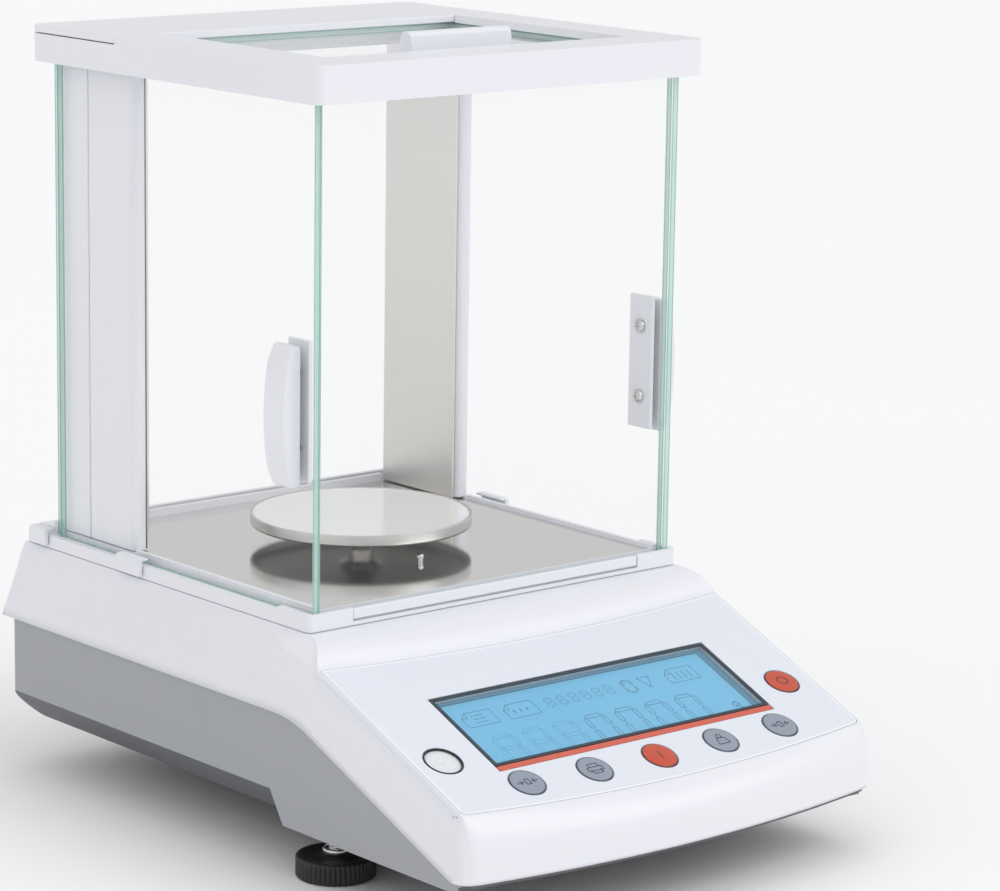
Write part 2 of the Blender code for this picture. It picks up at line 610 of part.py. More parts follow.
def chamber_frame():
    """White plinth: carries the floor plate, and guides the glass in grooves."""
    outline = rounded_rectangle(PLINTH_HALF, PLINTH_FRONT_Y, PLINTH_BACK_Y, 2.5 * MM, 3)
    frame = prism("chamber_frame", outline, 2, COVER_FLOOR_Z + GAP, PLINTH_TOP_Z, WHITE)
    groove_z = GLASS_FOOT_Z - GAP
    top = 0.12
    for sign in (-1, 1):
        low_x, high_x = sorted((sign * (DOOR_FACE_X - GLASS - GAP), sign * (DOOR_FACE_X + GAP)))
        cut_box(frame, (low_x, GLASS_FRONT_Y - GAP, groove_z), (high_x, 0.17, top))
        low_x, high_x = sorted((sign * DOOR_FACE_X, sign * (PLINTH_HALF + MM)))
        cut_box(frame, (low_x, -20.6 * MM, 102.4 * MM), (high_x, 0.17, top))
        low_x, high_x = sorted((sign * 87.8 * MM, sign * 89.9 * MM))
        add_box(frame, (low_x, -35.2 * MM, 103 * MM), (high_x, POST_FRONT_Y - 1 * MM, 105.2 * MM))
    cut_box(frame, (-90.4 * MM, GLASS_FRONT_Y - GAP, groove_z), (90.4 * MM, -35.7 * MM, top))
    cut_box(frame, (-75 * MM, -45 * MM, 98.6 * MM), (75 * MM, GLASS_FRONT_Y - 0.2 * MM, top))
    cut_box(frame, (-87 * MM, -35.2 * MM, 102.6 * MM), (87 * MM, 136.5 * MM, 103.9 * MM))
    cut_box(frame, (-87 * MM, -35.2 * MM, 103.5 * MM), (87 * MM, 136.5 * MM, top))
    add_box(frame, (-80.8 * MM, 136.6 * MM, 103 * MM), (80.8 * MM, REAR_PANE_Y - GAP, 107 * MM))
    add_box(frame, (-90 * MM, 142.6 * MM, 103 * MM), (90 * MM, 145 * MM, 107 * MM))
    cut_box(frame, (-90.4 * MM, REAR_PANE_Y - GAP, groove_z), (90.4 * MM, 142.6 * MM, top))
    cut_hole(frame, (0, PAN_Y), 9 * MM, 90 * MM, 0.12)
    box("front_strip", (-74.6 * MM, PLINTH_FRONT_Y + 0.1 * MM, 99.5 * MM), (74.6 * MM, -39.5 * MM, 103.7 * MM), WHITE,
        bevel=0.3 * MM)


def floor_plate():
    plate = box("floor_plate", (-86.6 * MM, -34.8 * MM, 102.9 * MM), (86.6 * MM, 136.2 * MM, 103.7 * MM), STEEL)
    cut_hole(plate, (0, PAN_Y), 8 * MM, 0.1, 0.11)


def rail_clips():
    """L-shaped clips on the plinth that keep each side door in its groove."""
    for side, sign in (("left", -1), ("right", 1)):
        section = [(99.2, 98), (99.2, 104.6), (98.4, 105.4), (94.3, 105.4), (94.3, 104.3), (97.1, 104.3), (97.1, 98)]
        outline = [(sign * x * MM, z * MM) for x, z in section]
        prism(f"rail_clip_front_{side}", outline, 1, 70 * MM, 87 * MM, WHITE)
        prism(f"rail_clip_rear_{side}", outline, 1, 139 * MM, 151 * MM, WHITE)


def posts():
    """Rear side walls of the chamber: a rounded front post, a flat rear post and a steel liner each side."""
    foot, head = PLINTH_TOP_Z + GAP, CAP_Z - GAP
    for side, sign in (("left", -1), ("right", 1)):
        low_x, high_x = sorted((sign * POST_IN_X, sign * POST_OUT_X))
        radius = 3 * MM
        outline = []
        for cx, start in ((high_x - radius, -90), (low_x + radius, -180)):
            arc = [math.radians(start + 90 * k / 4) for k in range(5)]
            arc = arc[::-1] if start == -90 else arc
            points = [(cx + radius * math.cos(a), POST_FRONT_Y + radius + radius * math.sin(a)) for a in arc]
            outline += points
        outline = outline[:5] + outline[:4:-1]
        outline += [(low_x, POST_SPLIT_Y), (high_x, POST_SPLIT_Y)]
        prism(f"front_post_{side}", outline, 2, foot, head, WHITE, smooth_angle=40)
        box(f"rear_post_{side}", (low_x, POST_SPLIT_Y + 0.6 * MM, foot), (high_x, POST_BACK_Y, head), WHITE,
            bevel=0.5 * MM)
        liner_x = sorted((sign * (POST_IN_X - GAP), sign * (POST_IN_X - 1.3 * MM)))
        box(f"liner_{side}", (liner_x[0], POST_FRONT_Y + 1.5 * MM, foot), (liner_x[1], 136.3 * MM, head), STEEL)


def panes():
    box("front_glass", (-90 * MM, GLASS_FRONT_Y, GLASS_FOOT_Z), (90 * MM, GLASS_FRONT_Y + GLASS, GLASS_TOP_Z), CLEAR)
    box("rear_glass", (-90 * MM, REAR_PANE_Y, GLASS_FOOT_Z), (90 * MM, REAR_PANE_Y + GLASS, GLASS_TOP_Z), CLEAR)


def cap():
    """Top frame with a hatch, grooves for the panes and a channel in which the hatch glass slides."""
    outline = rounded_rectangle(CAP_HALF, CAP_FRONT_Y, CAP_BACK_Y, 5 * MM, 5)
    frame = prism("cap_frame", outline, 2, CAP_Z, CAP_TOP_Z, WHITE, smooth_angle=40)
    high = 0.33
    low = 0.29
    lid_z = CAP_TOP_Z - 3 * MM
    slot_top = lid_z - GAP
    cut_box(frame, (-80.3 * MM, -27.3 * MM, HATCH_GLASS_Z - GAP), (80.3 * MM, 0.21, slot_top))
    cut_box(frame, (-0.2, HATCH_BACK_Y, slot_top - 0.1 * MM), (0.2, 0.22, high))
    cut_box(frame, (-HATCH_HALF, HATCH_FRONT_Y, 0.312), (HATCH_HALF, HATCH_BACK_Y + 2 * MM, high + MM))
    cut_box(frame, (-74 * MM, -21 * MM, low - MM), (74 * MM, 118 * MM, 0.3125))
    groove_top = GLASS_TOP_Z + GAP
    for sign in (-1, 1):
        low_x, high_x = sorted((sign * (DOOR_FACE_X - GLASS - GAP), sign * (DOOR_FACE_X + GAP)))
        cut_box(frame, (low_x, GLASS_FRONT_Y - GAP, low), (high_x, 0.23, groove_top))
    cut_box(frame, (-90.6 * MM, GLASS_FRONT_Y - 0.2 * MM, low), (90.6 * MM, -35.7 * MM, groove_top - 0.1 * MM))
    cut_box(frame, (-90.6 * MM, REAR_PANE_Y - GAP, low), (90.6 * MM, 142.6 * MM, groove_top - 0.05 * MM))
    lid = [(-CAP_HALF, HATCH_BACK_Y + GAP), (CAP_HALF, HATCH_BACK_Y + GAP)]
    lid += [point for point in rounded_rectangle(CAP_HALF, CAP_FRONT_Y, CAP_BACK_Y, 5 * MM, 5)[6:18]]
    prism("cap_rear_cover", lid, 2, lid_z, CAP_TOP_Z, WHITE, smooth_angle=40)


# ---------------------------------------------------------------- doors

def side_door(side, sign):
    """Glass that slides back, with a bowed outer handle screwed through to a backing plate."""
    low_x, high_x = sorted((sign * (DOOR_FACE_X - GLASS), sign * DOOR_FACE_X))
    glass = box(f"door_glass_{side}", (low_x, GLASS_FRONT_Y, GLASS_FOOT_Z), (high_x, DOOR_BACK_Y, GLASS_TOP_Z), CLEAR)
    handle_y = -25 * MM
    half = 6.75 * MM
    low_z, high_z = 152.5 * MM, 208.5 * MM
    face = DOOR_FACE_X + GAP
    outline = [(face, low_z), (face, high_z)]
    for k in range(9):                               # bowed outer face, deepest at mid height
        t = k / 8
        depth = 5.4 * MM + 3.2 * MM * (1 - (2 * t - 1) ** 2) - 1.6 * MM * abs(2 * t - 1) ** 10
        outline.append((face + depth, mix(high_z, low_z, t)))
    prism(f"door_handle_{side}", [(sign * x, z) for x, z in outline], 1, handle_y - half, handle_y + half, WHITE,
          smooth_angle=40)
    inner = DOOR_FACE_X - GLASS - GAP
    plate_x = sorted((sign * inner, sign * (inner - 2 * MM)))
    plate = box(f"door_plate_{side}", (plate_x[0], handle_y - half, low_z + 1.5 * MM),
                (plate_x[1], handle_y + half, high_z + 1.5 * MM), WHITE, bevel=0.4 * MM)
    for level, z in (("lower", 167.4 * MM), ("upper", 197.1 * MM)):
        for target, radius in ((glass, 2.0), (plate, 1.8)):
            tool = lathe(f"{target.name}_bore_{level}", [(0, -8 * MM), (radius * MM, -8 * MM), (radius * MM, 8 * MM),
                                                         (0, 8 * MM)], None, 20, (sign * (inner - MM), handle_y, z))
            tool.rotation_euler = (0, math.pi / 2, 0)
            if target is glass:
                tool.location.x = sign * (DOOR_FACE_X + 3 * MM)
            boolean(target, tool)
        screw(f"door_screw_{level}_{side}", sign, inner - 2 * MM, handle_y, z)


def screw(name, sign, face_x, y, z):
    """Cross-head screw whose head stands off the plate, pointing into the chamber."""
    profile = [(0, -5.1), (1.45, -5.1), (1.45, 0.2), (2.9, 0.2), (2.6, 1.1), (1.4, 1.6), (0, 1.7)]
    head = lathe(name, [(r * MM, h * MM) for r, h in profile], STEEL, 20, (sign * (face_x - 0.2 * MM), y, z))
    head.rotation_euler = (0, -sign * math.pi / 2, 0)
    arm, width = 1.6 * MM, 0.3 * MM
    for k, (a, b) in enumerate(((arm, width), (width, arm))):
        tool = box(f"{name}_cross_{k}", (-a, -b, 0.9 * MM), (a, b, 3 * MM), None, head)
        boolean(head, tool)


def top_door():
    low, high = HATCH_GLASS_Z, HATCH_GLASS_Z + GLASS
    box("top_door_glass", (-80 * MM, -27 * MM, low), (80 * MM, 92 * MM, high), CLEAR)
    base = high + GAP
    section = [(-13.5 * MM, base), (-4.5 * MM, base), (-5.6 * MM, 321.6 * MM), (-6.6 * MM, 323.1 * MM),
               (-8.2 * MM, 323.6 * MM), (-9.8 * MM, 323.6 * MM), (-11.4 * MM, 323.1 * MM), (-12.4 * MM, 321.6 * MM)]
    prism("top_door_handle", section, 0, -26 * MM, 26 * MM, WHITE, smooth_angle=40)


def pan():
    """Dished pan and the boss beneath it, which drops onto the spindle."""
    top = PAN_TOP_Z / MM
    rim = PAN_RADIUS / MM
    outer = [(0, top - 0.9), (41.5, top - 0.9), (43.4, top - 0.6), (44.4, top), (rim, top - 0.3), (rim - 0.1, top - 2.2),
             (rim - 0.9, top - 4.0), (rim - 2.6, top - 5.2), (rim - 3.4, top - 5.2), (rim - 2.1, top - 3.4),
             (rim - 1.4, top - 1.9), (0, top - 2.1)]
    lathe("weighing_pan", [(r * MM, z * MM) for r, z in outer], STEEL, 64, (0, PAN_Y, 0))
    boss = [(0, 114.2), (9, 114.2), (9, 113.2), (5.4, 111.8), (4.9, 107), (3.8, 107), (3.8, 109.6), (2.8, 112.6),
            (0, 112.6)]
    lathe("pan_boss", [(r * MM, z * MM) for r, z in boss], STEEL, 24, (0, PAN_Y, 0))


def main():
    clear_scene()
    console = console_frame()
    bpy.context.view_layer.update()
    lower_shell()
    upper_cover(console)
    control_overlay(console)
    display(console)
    keys(console)
    level_gauge(console)
    chassis_plate()
    load_cell()
    feet()
    connectors()
    chamber_frame()
    floor_plate()
    rail_clips()
    posts()
    panes()
    cap()
    side_door("left", -1)
    side_door("right", 1)
    top_door()
    pan()


main()
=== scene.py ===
import json
import math

import bmesh
import bpy
import numpy as np
from mathutils import Matrix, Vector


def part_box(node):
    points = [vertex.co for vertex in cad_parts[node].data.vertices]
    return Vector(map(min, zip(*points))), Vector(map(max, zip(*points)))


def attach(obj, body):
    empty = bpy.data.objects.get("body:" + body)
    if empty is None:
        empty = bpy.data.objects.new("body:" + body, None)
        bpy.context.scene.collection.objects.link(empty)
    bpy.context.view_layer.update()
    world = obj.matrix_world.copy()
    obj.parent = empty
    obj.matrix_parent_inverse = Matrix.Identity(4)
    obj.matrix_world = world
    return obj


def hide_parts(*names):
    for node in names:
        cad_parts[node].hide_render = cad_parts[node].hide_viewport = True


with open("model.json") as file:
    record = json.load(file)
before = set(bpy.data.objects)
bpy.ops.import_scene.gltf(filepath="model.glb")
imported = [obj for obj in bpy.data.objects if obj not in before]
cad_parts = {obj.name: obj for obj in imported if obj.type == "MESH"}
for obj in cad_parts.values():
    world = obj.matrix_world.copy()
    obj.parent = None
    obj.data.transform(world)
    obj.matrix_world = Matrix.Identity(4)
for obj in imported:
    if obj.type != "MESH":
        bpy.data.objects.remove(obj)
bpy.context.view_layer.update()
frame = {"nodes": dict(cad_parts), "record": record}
bodyOf = {node: body for body, members in frame["record"]["behaviour"]["bodies"].items() for node in members}
mm = 0.001
print("frame loaded:", len(frame["nodes"]), "nodes")


view = {"place": (-0.96465, -1.17325, 0.46876), "azimuth": -40.40, "elevation": 11.74, "roll": 0.88,
        "lens": 136.76}


def aimCamera():
    az, el, roll = (math.radians(view[key]) for key in ("azimuth", "elevation", "roll"))
    back = np.array([math.sin(az) * math.cos(el), -math.cos(az) * math.cos(el), math.sin(el)])
    level = np.array([math.cos(az), math.sin(az), 0.0])
    upright = np.cross(back, level)
    right = level * math.cos(roll) + upright * math.sin(roll)
    up = upright * math.cos(roll) - level * math.sin(roll)
    lens = bpy.data.cameras.new("camera")
    lens.lens = view["lens"]
    lens.sensor_width = 36
    lens.clip_start = 0.05
    camera = bpy.data.objects.new("camera", lens)
    turned = np.eye(4)
    turned[:3, 0], turned[:3, 1], turned[:3, 2], turned[:3, 3] = right, up, back, view["place"]
    camera.matrix_world = Matrix(turned.tolist())
    bpy.context.scene.collection.objects.link(camera)
    bpy.context.scene.camera = camera


# strength in watts per square metre, spread in degrees, and the direction that the light comes from
lamps = {
    "frontRight": {"strength": 0.95, "spread": 55, "from": (0.45, -0.85, 0.80)},
    "left": {"strength": 0.30, "spread": 70, "from": (-1.0, -0.25, 0.75)},
    "above": {"strength": 0.35, "spread": 80, "from": (-0.1, 0.5, 1.0)},
}


def lightStudio():
    for name, values in lamps.items():
        lamp = bpy.data.lights.new(name, "SUN")
        lamp.energy = values["strength"]
        lamp.angle = math.radians(values["spread"])
        holder = bpy.data.objects.new(name, lamp)
        away = np.array(values["from"]) / np.linalg.norm(values["from"])
        side = np.cross((0, 0, 1), away)
        side = side / np.linalg.norm(side)
        turned = np.eye(4)
        turned[:3, 0], turned[:3, 1], turned[:3, 2] = side, np.cross(away, side), away
        holder.matrix_world = Matrix(turned.tolist())
        bpy.context.scene.collection.objects.link(holder)
    world = bpy.data.worlds.new("studio")
    bpy.context.scene.world = world
    world.use_nodes = True
    glow = world.node_tree.nodes["Background"]
    glow.inputs["Color"].default_value = (0.985, 0.99, 1.0, 1)
    glow.inputs["Strength"].default_value = 0.66
    bpy.context.scene.view_settings.view_transform = "Standard"


class Wire:                                             # a socket that arithmetic turns into nodes
    def __init__(self, tree, socket=None):
        self.tree = tree
        self.socket = socket

    def make(self, kind, settings=None, sockets=None, output=0):
        node = self.tree.nodes.new("ShaderNode" + kind)
        for key, value in (settings or {}).items():
            if key == "stops":
                stops = node.color_ramp.elements
                stops[0].position, stops[-1].position = value[0][0], value[-1][0]
                for place, color in value[1:-1]:
                    stops.new(place)
                for stop, (place, color) in zip(stops, value):
                    stop.color = (*color, 1)
            else:
                setattr(node, key, value)
        for key, value in (sockets or {}).items():
            if isinstance(value, Wire):
                self.tree.links.new(value.socket, node.inputs[key])
            else:
                node.inputs[key].default_value = value
        return Wire(self.tree, node.outputs[output] if node.outputs else None)

    def maths(self, operation, *others, clamp=False):
        settings = {"operation": operation, "use_clamp": clamp}
        return self.make("Math", settings, dict(enumerate((self, *others))))

    def __add__(self, other):
        return self.maths("ADD", other)

    def __sub__(self, other):
        return self.maths("SUBTRACT", other)

    def __mul__(self, other):
        return self.maths("MULTIPLY", other)

    def __truediv__(self, other):
        return self.maths("DIVIDE", other)

    def __radd__(self, other):
        return self + other

    def __rmul__(self, other):
        return self * other

    def __rsub__(self, other):
        return self.make("Math", {"operation": "SUBTRACT"}, {0: other, 1: self})

    def __abs__(self):
        return self.maths("ABSOLUTE")

    def __pow__(self, other):
        return self.maths("POWER", other)

    def least(self, other):
        return self.maths("MINIMUM", other)

    def most(self, other):
        return self.maths("MAXIMUM", other)

    def step(self, edge, soft):                         # 0 below the edge, 1 above it, over a width of soft
        return ((self - edge) / soft + 0.5).maths("MAXIMUM", 0.0, clamp=True)

    def blend(self, low, high):                         # colour low where this is 0, high where it is 1
        return self.make("Mix", {"data_type": "RGBA"}, {0: self, 6: rgba(low), 7: rgba(high)}, 2)


def rgba(color):
    return color if isinstance(color, Wire) else (*color, 1)


class Finish:                                           # one material, read in object coordinates in metres
    def __init__(self, name):
        self.material = bpy.data.materials.new(name)
        self.material.use_nodes = True
        self.tree = self.material.node_tree
        self.tree.nodes.clear()
        self.start = Wire(self.tree)
        self.place = self.start.make("TexCoord", output="Object")
        self.x, self.y, self.z = (self.start.make("SeparateXYZ", sockets={0: self.place}, output=k)
                                  for k in range(3))

    def point(self, x, y, z):
        return self.start.make("CombineXYZ", sockets={0: x, 1: y, 2: z})

    def noise(self, scale, detail=2.0, rough=0.5, stretch=(1, 1, 1), at=None):
        vector = self.start.make("VectorMath", {"operation": "MULTIPLY"}, {0: at or self.place, 1: stretch})
        return self.start.make("TexNoise", sockets={"Vector": vector, "Scale": scale, "Detail": detail,
                                                    "Roughness": rough})

    def cells(self, scale, output="Distance"):
        return self.start.make("TexVoronoi", sockets={"Vector": self.place, "Scale": scale}, output=output)

    def sheen(self):                                    # mirror share: 0.04 head on, 1 at grazing angles
        facing = self.start.make("LayerWeight", sockets={"Blend": 0.5}, output="Facing")
        return 0.04 + 0.96 * facing ** 5.0

    def close(self, relief=None, depth=0.0001, strength=0.3, **sockets):
        if relief is not None:
            bump = {"Height": relief, "Distance": depth, "Strength": strength}
            sockets["Normal"] = self.start.make("Bump", sockets=bump)
        values = {key.replace("_", " "): value for key, value in sockets.items()}
        if "Base Color" in values:
            values["Base Color"] = rgba(values["Base Color"])
        shader = self.start.make("BsdfPrincipled", sockets=values)
        self.start.make("OutputMaterial", sockets={"Surface": shader})
        return self.material


# console directions: u to the right, v up the slope, n off the surface
console = {"origin": (0.0, -142.3 * mm, 51.3 * mm), "slope": math.radians(22.8)}
uAxis = np.array([1.0, 0.0, 0.0])
vAxis = np.array([0.0, math.cos(console["slope"]), math.sin(console["slope"])])
nAxis = np.array([0.0, -math.sin(console["slope"]), math.cos(console["slope"])])


def onConsole(u, v, n):                                 # arrays of u, v, n to points
    u, v, n = np.broadcast_arrays(u, v, n)
    return np.array(console["origin"]) + u[..., None] * uAxis + v[..., None] * vAxis + n[..., None] * nAxis


def consoleSpot(node):                                  # u, v of the middle of a node on the console
    low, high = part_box(node)
    middle = (np.array(low) + np.array(high)) / 2 - console["origin"]
    return float(middle @ uAxis), float(middle @ vAxis)


def consoleWires(finish):
    along, up = finish.y - console["origin"][1], finish.z - console["origin"][2]
    return finish.x, along * float(vAxis[1]) + up * float(vAxis[2])


plasticTones = {"bright": (0.835, 0.84, 0.885), "dull": (0.805, 0.81, 0.86), "roughness": 0.3}
# the foot tone is painted shade for the lowest band of the shell, near the bench
shellTones = {"light": (0.40, 0.41, 0.435), "dark": (0.355, 0.365, 0.39), "foot": (0.125, 0.13, 0.14),
              "roughness": 0.48, "footTop": 33.5 * mm}


def whitePlastic(name, tones=plasticTones, grain=2600, flow=9.0):
    f = Finish(name)
    cloud = f.noise(flow, 3)
    fine = f.noise(grain, 3, 0.6)
    color = cloud.blend(tones["dull"], tones["bright"])
    roughness = tones["roughness"] - 0.03 + 0.05 * f.noise(60, 4) + 0.03 * fine
    return f.close(fine + 0.4 * f.noise(220, 1), 0.00003, 0.22, Base_Color=color, Roughness=roughness,
                   IOR=1.5, Coat_Weight=0.12, Coat_Roughness=0.12)


def greyShell(name):
    f = Finish(name)
    texture = f.cells(900)
    fleck = f.noise(1800, 3, 0.65)
    color = (0.6 * f.noise(14, 3) + 0.4 * fleck).blend(shellTones["dark"], shellTones["light"])
    # painted shade: below the band height and towards the outer sides, the shell is darkened like the shadow
    # near the bench
    foot = (1 - f.z.step(shellTones["footTop"], 0.0015)) * (1 - abs(f.x).step(0.10515, 0.0002))
    color = foot.blend(color, shellTones["foot"])
    scuff = f.noise(30, 5, 0.7, stretch=(0.4, 0.4, 3)).step(0.63, 0.08)
    roughness = shellTones["roughness"] + 0.08 * fleck - 0.07 * scuff
    return f.close(texture + fleck, 0.00006, 0.3, Base_Color=color, Roughness=roughness)


def brushedSteel(name, along, bright, dull, roughness, depth=0.00002, strength=0.18):
    f = Finish(name)
    lengthwise, across = 14, 2600
    stretch = tuple(lengthwise if axis == along else across for axis in range(3))
    streak = f.noise(1.0, 4, 0.7, stretch)
    broad = f.noise(1.0, 2, 0.5, tuple(3 if axis == along else 160 for axis in range(3)))
    smear = f.noise(11, 3)
    color = (0.55 * streak + 0.3 * broad + 0.15 * smear).blend(dull, bright)
    return f.close(streak, depth, strength, Base_Color=color, Metallic=1.0,
                   Roughness=roughness + 0.07 * streak + 0.04 * smear)


linerFade = {"low": 106 * mm, "over": 200 * mm}


def linerSteel():                                       # brushed upright sheet, paler towards its top
    f = Finish("linerSteel")
    streak = f.noise(1.0, 4, 0.7, (2600, 2600, 14))
    broad = f.noise(1.0, 2, 0.5, (160, 160, 3))
    height = ((f.z - linerFade["low"]) / linerFade["over"]).most(0.0).least(1.0)
    shade = (0.6 * streak + 0.4 * broad).blend((0.80, 0.785, 0.76), (0.86, 0.845, 0.82))
    color = height.blend((0.3 * streak).blend((0.66, 0.64, 0.61), (0.80, 0.78, 0.75)), shade)
    return f.close(streak, 0.00002, 0.15, Base_Color=color, Metallic=1.0 - 0.55 * height,
                   Roughness=0.3 + 0.07 * streak)


def latheMarks(f, center):                              # distance from an upright axis, and grain in rings
    offset = f.point(f.x - center[0], f.y - center[1], 0.0)
    reach = f.start.make("VectorMath", {"operation": "LENGTH"}, {0: offset}, "Value")
    return reach, f.noise(4200, 3, 0.6, at=f.point(reach, 0.0, f.z))


def turnedSteel(name, center, bright, dull, roughness):
    f = Finish(name)
    ring = latheMarks(f, center)[1]
    cloud = f.noise(25, 3)
    color = (0.5 * ring + 0.5 * cloud).blend(dull, bright)
    return f.close(ring, 0.00001, 0.12, Base_Color=color, Metallic=1.0,
                   Roughness=roughness + 0.05 * ring + 0.03 * cloud)


panMiddle = (0, 49.5 * mm)
# zone limits of the pan: below the two under heights its steel is painted dark as shade
panLimits = {"inner": 45.15 * mm, "underLip": 112.2 * mm, "underDisc": 115.1 * mm, "top": 115.45 * mm,
             "topReach": 45.4 * mm}


def panSteel(name, center, bright, dull):               # polished top painted near white as a painted reflection, satin rim, and an underside painted dark as painted shade
    f = Finish(name)
    reach, ring = latheMarks(f, center)
    cloud = f.noise(25, 3)
    # painted shade: under the lip and under the inner disc the steel is painted near black
    inner = 1 - reach.step(panLimits["inner"], 0.0001)
    underDisc = (1 - f.z.step(panLimits["underDisc"], 0.0002)) * inner
    under = (1 - f.z.step(panLimits["underLip"], 0.0003)).most(underDisc)
    # painted reflection: the flat top is painted near white and only 40 % metal, for the bright surround it
    # mirrors
    top = f.z.step(panLimits["top"], 0.0002) * (1 - reach.step(panLimits["topReach"], 0.0004))
    steel = (0.5 * ring + 0.5 * cloud).blend(dull, bright)
    color = under.blend(top.blend((0.30 * ring).blend((0.60, 0.59, 0.575), dull), steel), (0.13, 0.125, 0.12))
    return f.close(ring, 0.00001, 0.12, Base_Color=color, Metallic=1.0 - 0.6 * top,
                   Roughness=0.28 + 0.04 * ring + 0.02 * cloud - 0.22 * top)


glassTones = {"face": (0.96, 0.985, 0.98), "edge": (0.50, 0.72, 0.65), "line": (0.12, 0.34, 0.28)}


def paneGlass(name, low, high):
    f = Finish(name)
    thin = int(np.argmin(np.array(high) - np.array(low)))
    sides = [(wire, a, b) for k, (wire, a, b) in enumerate(zip((f.x, f.y, f.z), low, high)) if k != thin]
    (p, a, b), (q, c, d) = sides
    rim = (p - float(a)).least(float(b) - p).least((q - float(c)).least(float(d) - q))
    edge = 1 - rim.step(0.00012, 0.00008)
    across = (f.x, f.y, f.z)[thin] - float(low[thin] + high[thin]) / 2
    line = (1 - abs(abs(across) - 0.0011).step(0.00022, 0.00012)) * 0.7
    green = (line + 0.2 * f.noise(40, 2)).blend(glassTones["edge"], glassTones["line"])
    dust = f.noise(900, 4, 0.7).step(0.72, 0.06)
    alpha = (0.006 + 0.3 * f.sheen() + 0.01 * dust) * (1 - edge) + 0.8 * edge
    color = edge.blend(glassTones["face"], green)
    f.material.surface_render_method = "BLENDED"
    return f.close(Base_Color=color, Roughness=0.03 + 0.2 * edge + 0.05 * dust, Alpha=alpha, IOR=1.5)


overlayShape = {"half": 103.6 * mm, "top": 91.6 * mm, "topBow": 5.0 * mm, "low": -1.6 * mm,
                "lowBow": 6.6 * mm, "corner": 3 * mm, "line": 0.9 * mm}


def overlayFilm():
    f = Finish("printedFilm")
    u, v = consoleWires(f)
    s = overlayShape
    share = abs(u) / s["half"]
    bow = 1 - share * share
    outX = (abs(u) - (s["half"] - s["corner"])).most(0.0)
    outY = ((s["low"] + s["corner"]) - s["lowBow"] * bow - v).most(0.0)
    rim = s["corner"] - (outX * outX + outY * outY) ** 0.5
    rim = rim.least((s["top"] - s["topBow"] * bow) - v)
    border = 1 - rim.step(s["line"], 0.0002)
    fine = f.noise(5200, 2, 0.6)
    ground = (0.7 * f.noise(16, 2) + 0.3 * fine).blend((0.755, 0.79, 0.865), (0.78, 0.81, 0.88))
    return f.close(fine, 0.00001, 0.2, Base_Color=border.blend(ground, (0.9, 0.91, 0.94)),
                   Roughness=0.34 + 0.06 * fine, Coat_Weight=0.15 + 0.05 * fine, Coat_Roughness=0.15)


screen = {"frameHalf": 67.35 * mm, "frameTop": 60.7 * mm, "frameLow": 17 * mm, "line": 0.24 * mm}


def screenBlue():
    f = Finish("screenBlue")
    u, v = consoleWires(f)
    s = screen
    middle, half = (s["frameTop"] + s["frameLow"]) / 2, (s["frameTop"] - s["frameLow"]) / 2
    outside = (abs(u) - s["frameHalf"]).most(abs(v - middle) - half)
    line = 1 - abs(outside).step(s["line"], 0.0001)
    beyond = outside.step(0.0, 0.0002)
    glow = f.noise(12, 2).blend((0.085, 0.37, 0.60), (0.105, 0.41, 0.645))
    rows = f.start.make("Math", {"operation": "PINGPONG"}, {0: v, 1: 0.00045}) / 0.00045
    color = (beyond * 0.75).blend((0.04 * rows).blend(glow, (0.3, 0.7, 0.9)), (0.045, 0.16, 0.26))
    color = line.blend(color, (0.012, 0.04, 0.075))
    return f.close(rows, 0.00001, 0.05, Base_Color=color, Roughness=0.22 + 0.04 * f.noise(80, 2),
                   Emission_Color=color, Emission_Strength=0.2)


def keyPlastic(name, center, ground, edge):
    f = Finish(name)
    u, v = consoleWires(f)
    du, dv = u - center[0], v - center[1]
    reach = (du * du + dv * dv) ** 0.5
    ring = reach.step(6.9 * mm, 0.0002)
    fine = f.noise(2600, 3, 0.6)
    shade = (0.6 * f.noise(120, 2) + 0.4 * fine).blend(tuple(0.92 * c for c in ground), ground)
    return f.close(fine, 0.00002, 0.2, Base_Color=ring.blend(shade, edge), Roughness=0.36 + 0.08 * fine,
                   Coat_Weight=0.2 - 0.1 * fine, Coat_Roughness=0.15)


def plainPlastic(name, light, dark, roughness, grain=1500, strength=0.3):
    f = Finish(name)
    fine = f.noise(grain, 3, 0.6)
    color = (0.5 * f.noise(40, 3) + 0.5 * fine).blend(dark, light)
    return f.close(fine, 0.00005, strength, Base_Color=color, Roughness=roughness + 0.1 * fine)


def circuitBoard(name):
    f = Finish(name)
    tracks = f.start.make("TexBrick", {"offset": 0.35}, {
        "Vector": f.place, "Scale": 90.0, "Mortar Size": 0.06, "Color1": (0.02, 0.16, 0.07, 1),
        "Color2": (0.03, 0.2, 0.09, 1), "Mortar": (0.06, 0.32, 0.15, 1)})
    pads = f.cells(260).step(0.16, 0.05)
    return f.close(1 - pads, 0.00005, 0.4, Base_Color=pads.blend((0.7, 0.66, 0.5), tracks),
                   Roughness=0.35 + 0.1 * pads)


def clearPlastic(name, color, alpha, roughness=0.06):
    f = Finish(name)
    haze = f.noise(700, 3, 0.6)
    f.material.surface_render_method = "BLENDED"
    return f.close(haze, 0.00001, 0.05, Base_Color=color, Roughness=roughness + 0.03 * haze,
                   Alpha=alpha + 0.7 * f.sheen(), IOR=1.49)


vialLine = {"u": -90.5 * mm, "v": 27.2 * mm, "slant": 0.25}


